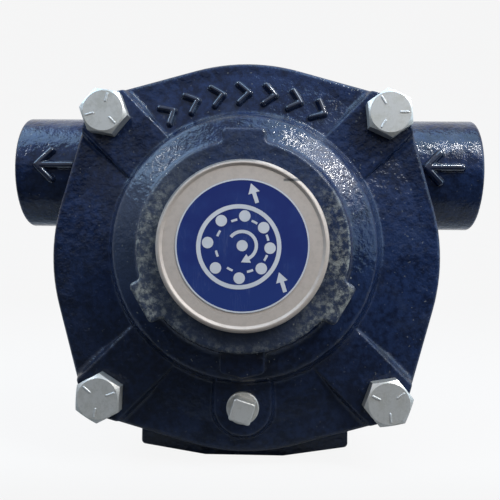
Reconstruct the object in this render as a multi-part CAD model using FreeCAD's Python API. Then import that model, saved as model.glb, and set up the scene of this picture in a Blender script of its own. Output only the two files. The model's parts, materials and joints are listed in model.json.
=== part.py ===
import FreeCAD, Part
import math
import os

# Eight-roller pump in cast iron, in millimetres, with its shaft level along Y.
# Every piece is laid out from the parting plane between cover and body, at y = 0:
# the cover is at negative y and the body at positive y. save() then moves it to the
# part's own origin, on the shaft axis at the face of the rear hub.
# +X is to the right of someone who faces the cover, and +Z is up.

# How far a feature reaches into the one it joins, and a cut past the face it opens
bite = 1.0

# Casting outline, shared by cover and body
bolt_square = 95.25
casting_drop = 2.5
outline_radius = 66.4
corner_radius = 7.75
cover_flange = 12.0
body_flange = 12.0
edge_round = 1.5
parting_round = 0.5
boss_round = 1.0

# Chamber, rotor and rollers
rotor_radius = 47.4
eccentricity = 4.5
tight_gap = 0.1
rotor_round = 0.5
chamber_depth = 44.0
side_gap = 0.1
roller_count = 8
roller_radius = 9.525
roller_gap = 0.15
roller_chamfer = 0.6
seat_radius = 36.5

# Spigot and its ring
spigot_depth = 3.0
spigot_rim = 2.0
spigot_gap = 0.05
spigot_round = 0.5
o_ring_width = 3.4
o_ring_height = 2.8
o_ring_rim = 1.2
o_ring_gap = 0.1
o_ring_round = 1.3

# Shaft and key
shaft_radius = 12.5
shaft_bore_gap = 0.4
drive_radius = 11.90625
drive_length = 50.0
drive_step = 1.5
shaft_chamfer = 1.5
shaft_nose = 4.0
nose_chamfer = 1.0
centre_hole_radius = 3.5
centre_drill_radius = 1.25
centre_drill_depth = 6.5
key_width = 6.35
key_height = 6.35
key_length = 36.0
drive_keyway_length = 38.0
drive_keyway_turn = -18.0
key_gap = 0.03
ring_thickness = 1.2
ring_height = 3.2
ring_groove_depth = 0.8
ring_gap = 0.03
ring_opening = 50.0
ring_recess = 2.0
recess_gap = 1.0

# Ball bearings, 25 x 52 x 15
bearing_outer = 26.0
bearing_width = 15.0
ball_radius = 3.969
ball_count = 9
ball_pitch_radius = 19.25
race_gap = 0.15
inner_shoulder = 16.2
outer_shoulder = 22.3
shield_thickness = 0.5
shield_inset = 0.4
shield_gap = 0.3
cage_width = 10.6
cage_height = 3.0
cage_gap = 0.2
ring_bevel = 0.8
press_gap = 0.02

# Lip seals, 25 x 40 x 8
seal_outer = 20.0
seal_width = 8.0
seal_wall = 1.0
seal_room = 1.0
lip_gap = 0.05
lip_edge = 2.6
lip_nose = 0.9
lip_depth = 0.9
lip_neck = 1.6
lip_horn = 1.3
lip_hinge = 1.0
lip_back = 1.4
lip_web = 0.4
lip_skin = 0.2
seal_flange = 3.3
spring_wire = 0.75
seal_pocket = 10.0
chamber_wall = 5.0

# Cover hub
face_cone_radius = 60.0
face_cone_rise = 2.5
hub_base_radius = 46.0
hub_shoulder_radius = 43.2
hub_shoulder_depth = 22.5
hub_shoulder_round = 3.0
hub_neck_radius = 34.4
hub_neck_depth = 26.5
hub_neck_round = 3.0
rim_radius = 33.3
rim_depth = 34.5
rim_round = 1.2
rim_draft = 0.6
lug_count = 3
lug_width = 14.0
lug_radius = 36.9
lug_round = 1.6
lug_fillet = 1.6
pad_width = 20.8
pad_height = 3.0
pad_draft = 1.6
pad_fillet = 2.0
pad_skirt = 5.0
pad_start = 30.0
pad_inset = 0.9
rib_width = 14.6
rib_end = 41.8
rib_point = 1.6
rib_height = 16.0
rib_round = 2.0
rib_point_round = 6.0

# Cap and label
cap_radius = 26.5
cap_seat_depth = 6.0
cap_front = 38.5
cap_wall = 1.5
cap_round = 1.2
cap_lip_slope = 0.8
cap_lip_round = 0.3
cap_face_round = 0.2
cap_inner_round = 0.6
cap_face_radius = 24.4
cap_face_step = 0.5
label_radius = 20.4
label_thickness = 0.2

# Drain
drain_drop = 52.9
drain_radius = 5.15
drain_boss_radius = 11.5
drain_boss_top = 9.3
drain_boss_height = 5.0
plug_length = 10.0
plug_chamfer = 0.8
plug_shoulder = 5.4
plug_collar = 1.2
collar_round = 0.4
plug_square = 7.3
plug_head = 6.5
plug_turn = 17.0
plug_round = 1.0
plug_edge_round = 0.6

# Cover screws, 3/8 in
bolt_radius = 4.7625
bolt_hole_gap = 0.6
thread_gap = 0.04
bolt_length = 31.75
bolt_chamfer = 1.2
bolt_hole_spare = 3.0
head_across_flats = 14.2875
head_height = 5.95
head_chamfer = 30.0
head_face_share = 0.94
washer_face = 0.4
washer_face_share = 0.96
head_turns = (35.0, 51.0, 28.0, 10.0)

# Body
body_depth = 81.0
drum_wall = 8.0
drum_length = 54.0
drum_round = 6.0
hub_radius = 33.5
hub_root_radius = 36.0
hub_round = 1.5
hub_fillet = 5.0
drum_rise = 2.0
bore_chamfer = 1.0
snap_groove_depth = 1.4
snap_groove_gap = 0.15
snap_ring_gap = 0.1
snap_ring_height = 3.0
snap_ring_opening = 28.0
snap_ear_radius = 2.4
snap_ear_hole = 1.1
snap_ear_sink = 0.6
snap_ear_turn = 4.0
corner_boss_radius = 9.0
corner_boss_length = 23.0
corner_boss_round = 2.0
web_thickness = 7.0
web_foot_radius = 54.0
web_top = 74.0
web_sink = 6.0
web_round = 2.0

# Ports, 3/4 in pipe thread
port_half_span = 85.4
port_height = 30.2
port_offset = 22.0
port_radius = 21.0
port_round = 1.2
port_bore = 11.7
port_bore_length = 24.0
port_chamfer = 1.9
passage_radius = 10.5
passage_end = 26.0
passage_taper = 1.2

# Foot
foot_half_width = 37.0
foot_front = 2.8
foot_depth = 46.0
foot_bottom = 73.8
foot_rise = 3.6
foot_land = 28.0
foot_corner = 1.5
foot_hole_radius = 3.97
foot_hole_depth = 12.0
foot_hole_pitch = 25.4
foot_sink_share = 0.85

# Worked out from the driving sizes
bolt_reach = bolt_square / math.sqrt(2.0)
cam_radius = rotor_radius + eccentricity + tight_gap
spigot_radius = cam_radius + spigot_rim
gland_inner = spigot_radius + o_ring_rim
gland_outer = gland_inner + o_ring_width + 2 * o_ring_gap
chamber_end = spigot_depth + chamber_depth
rotor_length = chamber_depth - 2 * side_gap
rotor_start = spigot_depth + side_gap
rotor_end = rotor_start + rotor_length
front_seal_floor = spigot_depth - chamber_wall
front_bearing_start = front_seal_floor - seal_pocket
front_bearing_end = front_bearing_start - bearing_width
rear_seal_floor = chamber_end + chamber_wall
rear_bearing_start = rear_seal_floor + seal_pocket
rear_bearing_end = rear_bearing_start + bearing_width
drum_radius = cam_radius + drum_wall
slot_radius = roller_radius + roller_gap
pad_face = cover_flange + pad_height
slot_turn = 180.0 / roller_count

Vec = FreeCAD.Vector
along_shaft = Vec(0, 1, 0)


def rod(radius, y_start, y_end, x=0.0, z=0.0):
    """Cylinder along Y from y_start to y_end."""
    return Part.makeCylinder(radius, y_end - y_start, Vec(x, y_start, z), along_shaft)


def block(x_low, x_high, y_low, y_high, z_low, z_high):
    """Box between two corners."""
    return Part.makeBox(x_high - x_low, y_high - y_low, z_high - z_low, Vec(x_low, y_low, z_low))


def rounded_wire(corners):
    """Closed wire of straight runs in the XY plane; each corner is (x, y, radius of its rounding)."""
    count = len(corners)
    points = [Vec(x, y, 0) for x, y, rounding in corners]
    edges = []
    ends = []
    for k in range(count):
        here = points[k]
        rounding = corners[k][2]
        if rounding == 0:
            ends.append((here, here))
            continue
        back = (points[k - 1] - here).normalize()
        ahead = (points[(k + 1) % count] - here).normalize()
        half = back.getAngle(ahead) / 2
        reach = rounding / math.tan(half)
        inward = (back + ahead).normalize()
        middle = here + inward * (rounding / math.sin(half) - rounding)
        first = here + back * reach
        last = here + ahead * reach
        edges.append(Part.Arc(first, middle, last).toShape())
        ends.append((first, last))
    for k in range(count):
        edges.append(Part.makeLine(ends[k - 1][1], ends[k][0]))
    return Part.Wire(Part.__sortEdges__(edges))


def turned(corners, z=0.0):
    """Solid turned about the Y direction from corners (radius, y, rounding)."""
    face = Part.Face(rounded_wire(corners))
    solid = face.revolve(Vec(0, 0, 0), along_shaft, 360)
    solid.translate(Vec(0, 0, z))
    return solid


def around_shaft(shape, degrees):
    """Copy of a shape turned about the shaft, counterclockwise for someone who faces the cover."""
    copy = shape.copy()
    copy.rotate(Vec(0, 0, 0), along_shaft, -degrees)
    return copy


def outline_point(radius, centre, degrees, y):
    """Point at an angle on a circle in the XZ plane."""
    angle = math.radians(degrees)
    return Vec(centre.x + radius * math.cos(angle), y, centre.z + radius * math.sin(angle))


def outline_face(y, inset=0.0):
    """Casting outline: a large circle and four corner circles, joined by their tangents."""
    centre = Vec(0, 0, -casting_drop)
    spread = math.degrees(math.acos((outline_radius - corner_radius) / bolt_reach))
    around, corner_around = outline_radius - inset, corner_radius - inset
    edges = []
    for diagonal in (45.0, 135.0, 225.0, 315.0):
        corner = outline_point(bolt_reach, centre, diagonal, y)
        first, last = diagonal - spread, diagonal + spread
        middle = diagonal - 45.0
        large = [outline_point(around, centre, a, y) for a in (middle - 45 + spread, middle, first)]
        small = [outline_point(corner_around, corner, a, y) for a in (first, diagonal, last)]
        edges.append(Part.Arc(*large).toShape())
        edges.append(Part.makeLine(large[2], small[0]))
        edges.append(Part.Arc(*small).toShape())
        edges.append(Part.makeLine(small[2], outline_point(around, centre, last, y)))
    return Part.Face(Part.Wire(edges))


def rounded_rim(solid, y, rounding):
    """Round every edge of a solid that lies in the plane at y."""
    edges = [e for e in solid.Edges if all(abs(v.Point.y - y) < 0.001 for v in e.Vertexes)]
    return solid.makeFillet(rounding, edges)


def bolt_places():
    """Centre of each cover screw, counterclockwise from the upper right."""
    centre = Vec(0, 0, -casting_drop)
    return [outline_point(bolt_reach, centre, diagonal, 0) for diagonal in (45.0, 135.0, 225.0, 315.0)]


def save(name, shape):
    """Move a piece from the parting plane to the part's origin and write it."""
    shape = shape.copy()
    shape.translate(Vec(0, -body_depth, 0))
    shape.exportStep("parts/" + name + ".step")


# Cover

def cover_hub():
    """Cone of the cover from a slight rise on the flange to the rim, turned about the shaft."""
    return turned([
        (0, -bite, 0),
        (face_cone_radius, -bite, 0),
        (face_cone_radius, -cover_flange, 0),
        (hub_base_radius, -cover_flange - face_cone_rise, edge_round),
        (hub_shoulder_radius, -hub_shoulder_depth, hub_shoulder_round),
        (hub_neck_radius, -hub_neck_depth, hub_neck_round),
        (rim_radius - rim_draft, -rim_depth + rim_round, 0),
        (0, -rim_depth + rim_round, 0),
    ])


def lug_side():
    """Points of a lug's right side, from the rim circle over the root fillet to the rounded tip.

    The fillet's centre lies lug_fillet beside the lug and rim_radius + lug_fillet from the shaft.
    """
    half = lug_width / 2
    reach = rim_radius + lug_fillet
    centre = Vec(half + lug_fillet, 0, math.sqrt(reach ** 2 - (half + lug_fillet) ** 2))
    inward = (Vec(-1, 0, 0) - centre * (1 / reach)).normalize()
    tip = Vec(half - lug_round, 0, lug_radius - lug_round)
    slant = lug_round / math.sqrt(2.0)
    return [
        centre * (rim_radius / reach),
        centre + inward * lug_fillet,
        Vec(half, 0, centre.z),
        Vec(half, 0, tip.z),
        tip + Vec(slant, 0, slant),
        Vec(tip.x, 0, lug_radius),
    ]


def cover_rim():
    """Rim round the cap with three flat lugs, by which the casting is held while it is turned."""
    right = lug_side()
    left = [Vec(-p.x, 0, p.z) for p in right]
    lug = [
        Part.Arc(*right[:3]).toShape(),
        Part.makeLine(right[2], right[3]),
        Part.Arc(*right[3:]).toShape(),
        Part.makeLine(right[5], left[5]),
        Part.Arc(left[5], left[4], left[3]).toShape(),
        Part.makeLine(left[3], left[2]),
        Part.Arc(left[2], left[1], left[0]).toShape(),
    ]
    step = 360.0 / lug_count
    start = math.degrees(math.atan2(left[0].z, left[0].x))
    ends = [start, 90.0 + step / 2, 180.0 + step - start]
    lug.append(Part.Arc(*[outline_point(rim_radius, Vec(0, 0, 0), a, 0) for a in ends]).toShape())
    edges = [around_shaft(edge, k * step) for k in range(lug_count) for edge in lug]
    face = Part.Face(Part.Wire(Part.__sortEdges__(edges)))
    face.translate(Vec(0, -hub_shoulder_depth + bite, 0))
    rim = face.extrude(Vec(0, hub_shoulder_depth - rim_depth - bite, 0))
    return rounded_rim(rim, -rim_depth, rim_round)


def cover_pads():
    """Raised drafted bands with filleted feet, from the hub to the corners and cut off inside the outline."""
    top = pad_width / 2 - pad_draft / 2
    foot = pad_width / 2 + pad_draft / 2
    reach = bolt_reach + 2 * corner_radius
    face = Part.Face(rounded_wire([
        (-foot - pad_skirt, -cover_flange + bite, 0),
        (foot + pad_skirt, -cover_flange + bite, 0),
        (foot + pad_skirt, -cover_flange, 0),
        (foot, -cover_flange, pad_fillet),
        (top, -pad_face, boss_round),
        (-top, -pad_face, boss_round),
        (-foot, -cover_flange, pad_fillet),
        (-foot - pad_skirt, -cover_flange, 0),
    ]))
    face.translate(Vec(0, 0, pad_start))
    band = face.extrude(Vec(0, 0, reach - pad_start))
    limit = outline_face(0, pad_inset).extrude(Vec(0, -2 * pad_face, 0))
    pads = []
    for diagonal in (45.0, 135.0, 225.0, 315.0):
        turned_band = around_shaft(band, diagonal - 90.0)
        turned_band.translate(Vec(0, 0, -casting_drop))
        pads.append(turned_band.common(limit))
    return pads


def cover_rib():
    """Rib that stands on the hub's shoulder under the rim, with a blunt point above the drain boss."""
    half = rib_width / 2
    corners = [
        (-half, -rim_radius, 0),
        (-half, -rib_end + rib_point, rib_round),
        (0, -rib_end, rib_point_round),
        (half, -rib_end + rib_point, rib_round),
        (half, -rim_radius, 0),
    ]
    face = Part.Face(rounded_wire(corners))
    face.rotate(Vec(0, 0, 0), Vec(1, 0, 0), 90)
    face.translate(Vec(0, -cover_flange + bite, 0))
    rib = face.extrude(Vec(0, -rib_height - bite, 0))
    return rounded_rim(rib, -cover_flange - rib_height, boss_round)


def drain_boss():
    """Flared boss round the drain hole, carried up to the hub with the same flanks."""
    base = -cover_flange + bite
    top = -cover_flange - drain_boss_height
    cone = turned([
        (0, base, 0),
        (drain_boss_radius, base, 0),
        (drain_boss_radius, -cover_flange, 0),
        (drain_boss_top, top, boss_round),
        (0, top, 0),
    ], z=-drain_drop)
    face = Part.Face(rounded_wire([
        (-drain_boss_radius, base, 0),
        (-drain_boss_radius, -cover_flange, 0),
        (-drain_boss_top, top, boss_round),
        (drain_boss_top, top, boss_round),
        (drain_boss_radius, -cover_flange, 0),
        (drain_boss_radius, base, 0),
    ]))
    face.translate(Vec(0, 0, -drain_drop))
    return cone.fuse(face.extrude(Vec(0, 0, drain_drop - rim_radius)))


def end_cover():
    """Cover casting: flange, hub, rim, pads, rib and boss, bored for cap, bearing, seal and screws."""
    flange = outline_face(0).extrude(Vec(0, -cover_flange, 0))
    flange = rounded_rim(flange, -cover_flange, edge_round)
    flange = rounded_rim(flange, 0, parting_round)
    spigot = turned([
        (0, -bite, 0),
        (spigot_radius - spigot_gap, -bite, 0),
        (spigot_radius - spigot_gap, spigot_depth, spigot_round),
        (0, spigot_depth, 0),
    ], z=-eccentricity)
    parts = [cover_hub(), cover_rim(), spigot, cover_rib(), drain_boss()] + cover_pads()
    casting = flange.multiFuse(parts)
    cuts = [
        rod(shaft_radius + shaft_bore_gap, -rim_depth, spigot_depth + bite),
        rod(seal_outer, front_bearing_start - bite, front_seal_floor),
        rod(bearing_outer, -rim_depth - bite, front_bearing_start),
        rod(cap_radius, -rim_depth - bite, -rim_depth + cap_seat_depth),
        rod(drain_radius + thread_gap, -2 * cover_flange, spigot_depth + bite, z=-drain_drop),
    ]
    for place in bolt_places():
        cuts.append(rod(bolt_radius + bolt_hole_gap, -2 * pad_face, bite, place.x, place.z))
    return casting.cut(cuts).removeSplitter()


def cover_o_ring():
    """Ring squeezed in its gland, with flat faces where it seals."""
    inner = gland_inner + o_ring_gap
    return turned([
        (inner, 0, o_ring_round),
        (inner + o_ring_width, 0, o_ring_round),
        (inner + o_ring_width, o_ring_height, o_ring_round),
        (inner, o_ring_height, o_ring_round),
    ], z=-eccentricity)


def hex_head():
    """Hexagon with its corners bevelled towards the front, on a washer face at y = 0."""
    flats = head_across_flats / 2
    corner = flats / math.cos(math.radians(30))
    front = -head_height
    slope = math.tan(math.radians(head_chamfer))
    face_radius = flats * head_face_share
    edge = front + (corner - face_radius) * slope
    points = [outline_point(corner, Vec(0, 0, 0), angle, -washer_face) for angle in range(0, 420, 60)]
    head = Part.Face(Part.makePolygon(points)).extrude(Vec(0, front + washer_face, 0))
    envelope = turned([
        (0, 0, 0),
        (corner + bite, 0, 0),
        (corner + bite, edge + bite * slope, 0),
        (face_radius, front, 0),
        (0, front, 0),
    ])
    return head.common(envelope).fuse(rod(flats * washer_face_share, -washer_face, 0))


def cover_bolt(place, turn):
    """Hex head screw, its head against the pad and its shank in the body."""
    shank = turned([
        (0, -washer_face, 0),
        (bolt_radius, -washer_face, 0),
        (bolt_radius, bolt_length - bolt_chamfer, 0),
        (bolt_radius - bolt_chamfer, bolt_length, 0),
        (0, bolt_length, 0),
    ])
    bolt = around_shaft(hex_head().fuse(shank).removeSplitter(), turn)
    bolt.translate(Vec(place.x, -pad_face, place.z))
    return bolt


def cover_bolts():
    """The four screws as one group."""
    return Part.makeCompound([cover_bolt(place, turn) for place, turn in zip(bolt_places(), head_turns)])


def drain_plug():
    """Pipe plug with a square head."""
    boss_face = -cover_flange - drain_boss_height
    collar_face = boss_face - plug_collar
    body = turned([
        (0, boss_face + plug_length, 0),
        (drain_radius - plug_chamfer, boss_face + plug_length, 0),
        (drain_radius, boss_face + plug_length - plug_chamfer, 0),
        (drain_radius, boss_face, 0),
        (plug_shoulder, boss_face, 0),
        (plug_shoulder, collar_face, collar_round),
        (0, collar_face, 0),
    ])
    half = plug_square / 2
    square = [(x * half, z * half, plug_round) for x, z in ((-1, -1), (1, -1), (1, 1), (-1, 1))]
    face = Part.Face(rounded_wire(square))
    face.rotate(Vec(0, 0, 0), Vec(1, 0, 0), 90)
    face.translate(Vec(0, collar_face + bite, 0))
    head = face.extrude(Vec(0, -plug_head - bite, 0))
    head = rounded_rim(head, collar_face - plug_head, plug_edge_round)
    plug = around_shaft(body.fuse(head).removeSplitter(), -plug_turn)
    plug.translate(Vec(0, 0, -drain_drop))
    return plug


def bearing_cap():
    """Pressed cup with a raised lip round a flat face."""
    outer = cap_radius - press_gap
    seat = -rim_depth + cap_seat_depth
    face = -cap_front + cap_face_step
    return turned([
        (outer, seat, 0),
        (outer, -cap_front, cap_round),
        (cap_face_radius + cap_lip_slope, -cap_front, cap_lip_round),
        (cap_face_radius, face, cap_face_round),
        (0, face, 0),
        (0, face + cap_wall, 0),
        (outer - cap_wall, face + cap_wall, cap_inner_round),
        (outer - cap_wall, seat, 0),
    ])


def cap_label():
    """Round label stuck on the face of the cap."""
    face = -cap_front + cap_face_step
    return rod(label_radius, face - label_thickness, face)


# Body

def body_drum():
    """Round chamber wall and end wall, centred on the chamber."""
    return turned([
        (0, 0, 0),
        (drum_radius, 0, 0),
        (drum_radius, drum_length, drum_round),
        (0, drum_length + drum_rise, 0),
    ], z=-eccentricity)


def rear_hub():
    """Hub of the rear bearing, turned about the shaft."""
    return turned([
        (0, chamber_end, 0),
        (hub_root_radius + 2 * hub_fillet, chamber_end, 0),
        (hub_root_radius + 2 * hub_fillet, drum_length, 0),
        (hub_root_radius, drum_length + drum_rise, hub_fillet),
        (hub_radius, body_depth, hub_round),
        (0, body_depth, 0),
    ])


def rear_webs():
    """Four webs that stiffen the hub, on the diagonals."""
    corners = [
        (hub_radius - web_sink, chamber_end, 0),
        (web_foot_radius, chamber_end, 0),
        (web_foot_radius, drum_length, web_round),
        (hub_radius, web_top, web_round),
        (hub_radius - web_sink, web_top, 0),
    ]
    face = Part.Face(rounded_wire(corners))
    face.translate(Vec(0, 0, -web_thickness / 2))
    web = face.extrude(Vec(0, 0, web_thickness))
    return [around_shaft(web, diagonal) for diagonal in (45.0, 135.0, 225.0, 315.0)]


def port_bosses():
    """One round bar across the body, whose two ends are the port bosses."""
    corners = [
        (0, -port_half_span, 0),
        (port_radius, -port_half_span, port_round),
        (port_radius, port_half_span, port_round),
        (0, port_half_span, 0),
    ]
    bar = turned(corners)
    bar.rotate(Vec(0, 0, 0), Vec(0, 0, 1), -90)
    bar.translate(Vec(0, port_offset, port_height))
    return bar


def port_cut(side):
    """Tapped bore and passage of one port; side is 1 at +X and -1 at -X."""
    end = port_half_span
    wall_start = end - port_chamfer
    corners = [
        (0, end + bite, 0),
        (port_bore + port_chamfer, end + bite, 0),
        (port_bore + port_chamfer, end, 0),
        (port_bore, wall_start, 0),
        (port_bore, wall_start - port_bore_length, 0),
        (passage_radius, wall_start - port_bore_length - passage_taper, 0),
        (passage_radius, passage_end, 0),
        (0, passage_end, 0),
    ]
    cut = turned(corners)
    cut.rotate(Vec(0, 0, 0), Vec(0, 0, 1), -90 * side)
    cut.translate(Vec(0, port_offset, port_height))
    return cut


def foot():
    """Foot under the drum: a flat land between two faces that rise a little to the sides."""
    rise_end = -foot_bottom + foot_rise
    top = -eccentricity - cam_radius * foot_sink_share
    corners = [
        (-foot_half_width, top, 0),
        (-foot_half_width, rise_end, foot_corner),
        (-foot_land / 2, -foot_bottom, 0),
        (foot_land / 2, -foot_bottom, 0),
        (foot_half_width, rise_end, foot_corner),
        (foot_half_width, top, 0),
    ]
    face = Part.Face(rounded_wire(corners))
    face.rotate(Vec(0, 0, 0), Vec(1, 0, 0), 90)
    face.translate(Vec(0, foot_front + foot_depth, 0))
    return face.extrude(Vec(0, -foot_depth, 0))


def foot_holes():
    """Two tapped holes in a line along the shaft."""
    middle = foot_front + foot_depth / 2
    cuts = []
    for y in (middle - foot_hole_pitch / 2, middle + foot_hole_pitch / 2):
        base = Vec(0, y, -foot_bottom - bite)
        cuts.append(Part.makeCylinder(foot_hole_radius, foot_hole_depth + bite, base, Vec(0, 0, 1)))
    return cuts


def corner_bosses():
    """Boss behind each corner of the flange, for the thread of its screw."""
    limit = outline_face(0).extrude(Vec(0, body_depth, 0))
    boss = rod(corner_boss_radius, 0, corner_boss_length)
    boss = rounded_rim(boss, corner_boss_length, corner_boss_round)
    bosses = []
    for place in bolt_places():
        placed = boss.copy()
        placed.translate(Vec(place.x, 0, place.z))
        bosses.append(placed.common(limit))
    return bosses


def rear_bore():
    """Cuts of the rear hub: shaft hole, seal pocket, bearing bore, its snap ring groove and its lead-in."""
    groove_end = snap_ring_start() + ring_thickness + snap_groove_gap
    return [
        rod(shaft_radius + shaft_bore_gap, chamber_end - bite, body_depth),
        rod(seal_outer, rear_seal_floor, body_depth),
        rod(bearing_outer, rear_bearing_start, body_depth + bite),
        rod(bearing_outer + snap_groove_depth, rear_bearing_end, groove_end),
        turned([
            (0, body_depth - bore_chamfer, 0),
            (bearing_outer, body_depth - bore_chamfer, 0),
            (bearing_outer + bore_chamfer, body_depth, 0),
            (0, body_depth, 0),
        ]),
    ]


def pump_body():
    """Body casting with its chamber, ports, hub, foot and bores."""
    flange = outline_face(0).extrude(Vec(0, body_flange, 0))
    flange = rounded_rim(flange, body_flange, edge_round)
    flange = rounded_rim(flange, 0, parting_round)
    parts = [body_drum(), rear_hub(), port_bosses(), foot()] + corner_bosses() + rear_webs()
    casting = flange.multiFuse(parts)
    gland = rod(gland_outer, -bite, o_ring_height, z=-eccentricity)
    cuts = [
        rod(spigot_radius, -bite, spigot_depth, z=-eccentricity),
        rod(cam_radius, 0, chamber_end, z=-eccentricity),
        gland.cut(rod(gland_inner, -bite, o_ring_height, z=-eccentricity)),
        port_cut(1),
        port_cut(-1),
    ] + rear_bore() + foot_holes()
    depth = bolt_length - pad_face + bolt_hole_spare
    for place in bolt_places():
        cuts.append(rod(bolt_radius + thread_gap, -bite, depth, place.x, place.z))
    return casting.cut(cuts).removeSplitter()


# Shaft, rotor and rollers

def ring_groove(y, radius):
    """Cut of a snap ring's groove in the shaft."""
    tube = rod(radius + bite, y - ring_gap, y + ring_thickness + ring_gap)
    return tube.cut(rod(radius - ring_groove_depth, y - bite, y + ring_thickness + bite))


def opening(radius, middle, spread, y, thickness):
    """Wedge that cuts a ring open: spread degrees wide about the middle angle."""
    centre = Vec(0, 0, 0)
    tips = [outline_point(radius, centre, middle + side * spread / 2, y - bite) for side in (-1, 1)]
    corner = Vec(0, y - bite, 0)
    return Part.Face(Part.makePolygon([corner] + tips + [corner])).extrude(Vec(0, thickness + 2 * bite, 0))


def shaft_ring(y):
    """External snap ring on the shaft, open at the bottom."""
    inner = shaft_radius - ring_groove_depth + ring_gap
    outer = inner + ring_height
    ring = rod(outer, y, y + ring_thickness).cut(rod(inner, y - bite, y + ring_thickness + bite))
    return ring.cut(opening(2 * outer, -90, ring_opening, y, ring_thickness))


def ring_places():
    """Start of each snap ring on the shaft: at the front bearing, both rotor faces and the rear bearing."""
    return {
        "front": front_bearing_end - ring_gap - ring_thickness,
        "rotor_front": rotor_start + ring_recess - ring_thickness - ring_gap,
        "rotor_rear": rotor_end - ring_recess + ring_gap,
        "rear": rear_bearing_end + ring_gap,
    }


def key_block(y_middle, length, gap, reach):
    """Square key or its seat, on top of the shaft."""
    half = key_width / 2 + gap
    low = shaft_radius - key_height / 2 - gap
    return block(-half, half, y_middle - length / 2 - gap, y_middle + length / 2 + gap, low, low + reach)


def drive_keyway(end):
    """Cut of the keyway that runs out of the free end, with a round inner end."""
    start = end - drive_keyway_length
    floor = drive_radius - key_height / 2
    half = key_width / 2
    run = block(-half, half, start, end + bite, floor, drive_radius + bite)
    return run.fuse(Part.makeCylinder(half, drive_radius, Vec(0, start, floor), Vec(0, 0, 1)))


def drive_shaft():
    """Stepped shaft with grooves for its rings, a seat for the rotor key and a keyway on the free end."""
    nose = front_bearing_end - shaft_nose
    step = body_depth - drive_step
    tail = body_depth + drive_length - drive_step
    shaft = turned([
        (0, nose, 0),
        (shaft_radius - nose_chamfer, nose, 0),
        (shaft_radius, nose + nose_chamfer, 0),
        (shaft_radius, step, 0),
        (drive_radius, step, 0),
        (drive_radius, tail, 0),
        (drive_radius - shaft_chamfer, tail + shaft_chamfer, 0),
        (0, tail + shaft_chamfer, 0),
    ])
    cuts = [ring_groove(y, shaft_radius) for y in ring_places().values()]
    rotor_middle = (rotor_start + rotor_end) / 2
    cuts.append(key_block(rotor_middle, key_length, key_gap, key_height))
    cuts.append(around_shaft(drive_keyway(tail + shaft_chamfer), drive_keyway_turn))
    cuts.append(centre_hole(nose, 1))
    cuts.append(centre_hole(tail + shaft_chamfer, -1))
    return shaft.cut(cuts)


def centre_hole(y, inward):
    """Cut of the lathe centre in one end of the shaft: a 60 degree cone that ends in a drilled hole."""
    slope = math.tan(math.radians(30))
    cone_depth = (centre_hole_radius - centre_drill_radius) / slope
    return turned([
        (0, y - inward * bite, 0),
        (centre_hole_radius + bite * slope, y - inward * bite, 0),
        (centre_drill_radius, y + inward * cone_depth, 0),
        (centre_drill_radius, y + inward * centre_drill_depth, 0),
        (0, y + inward * (centre_drill_depth + centre_drill_radius * slope), 0),
    ])


def rotor_key():
    """Key that drives the rotor."""
    low = shaft_radius - key_height / 2
    half = key_width / 2
    middle = (rotor_start + rotor_end) / 2
    return block(-half, half, middle - key_length / 2, middle + key_length / 2, low, low + key_height)


def rotor():
    """Round rotor with one slot for each roller, a bore and a keyway."""
    body = turned([
        (0, rotor_start, 0),
        (rotor_radius, rotor_start, rotor_round),
        (rotor_radius, rotor_end, rotor_round),
        (0, rotor_end, 0),
    ])
    bore = shaft_radius + press_gap
    recess = shaft_radius - ring_groove_depth + ring_height + recess_gap
    half = key_width / 2 + key_gap
    front = rotor_start - bite
    back = rotor_end + bite
    cuts = [
        rod(bore, front, back),
        rod(recess, front, rotor_start + ring_recess),
        rod(recess, rotor_end - ring_recess, back),
        block(-half, half, front, back, 0, shaft_radius + key_height / 2 + key_gap),
    ]
    slot = rod(slot_radius, front, back, x=seat_radius)
    mouth = block(seat_radius, 2 * rotor_radius, front, back, -slot_radius, slot_radius)
    slot = slot.fuse(mouth)
    for k in range(roller_count):
        cuts.append(around_shaft(slot, slot_turn + k * 360.0 / roller_count))
    return body.cut(cuts).removeSplitter()


def roller(index):
    """One roller at the bottom of its slot."""
    solid = turned([
        (0, rotor_start, 0),
        (roller_radius - roller_chamfer, rotor_start, 0),
        (roller_radius, rotor_start + roller_chamfer, 0),
        (roller_radius, rotor_end - roller_chamfer, 0),
        (roller_radius - roller_chamfer, rotor_end, 0),
        (0, rotor_end, 0),
    ])
    solid.translate(Vec(seat_radius, 0, 0))
    return around_shaft(solid, slot_turn + index * 360.0 / roller_count)


# Bearings

def bevelled_ring(inner, outer, y_low, y_high, inner_bevel, outer_bevel):
    """Ring about the shaft with bevelled bore edges and bevelled outer edges."""
    return turned([
        (inner, y_low + inner_bevel, 0),
        (inner + inner_bevel, y_low, 0),
        (outer - outer_bevel, y_low, 0),
        (outer, y_low + outer_bevel, 0),
        (outer, y_high - outer_bevel, 0),
        (outer - outer_bevel, y_high, 0),
        (inner + inner_bevel, y_high, 0),
        (inner, y_high - inner_bevel, 0),
    ])


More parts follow.
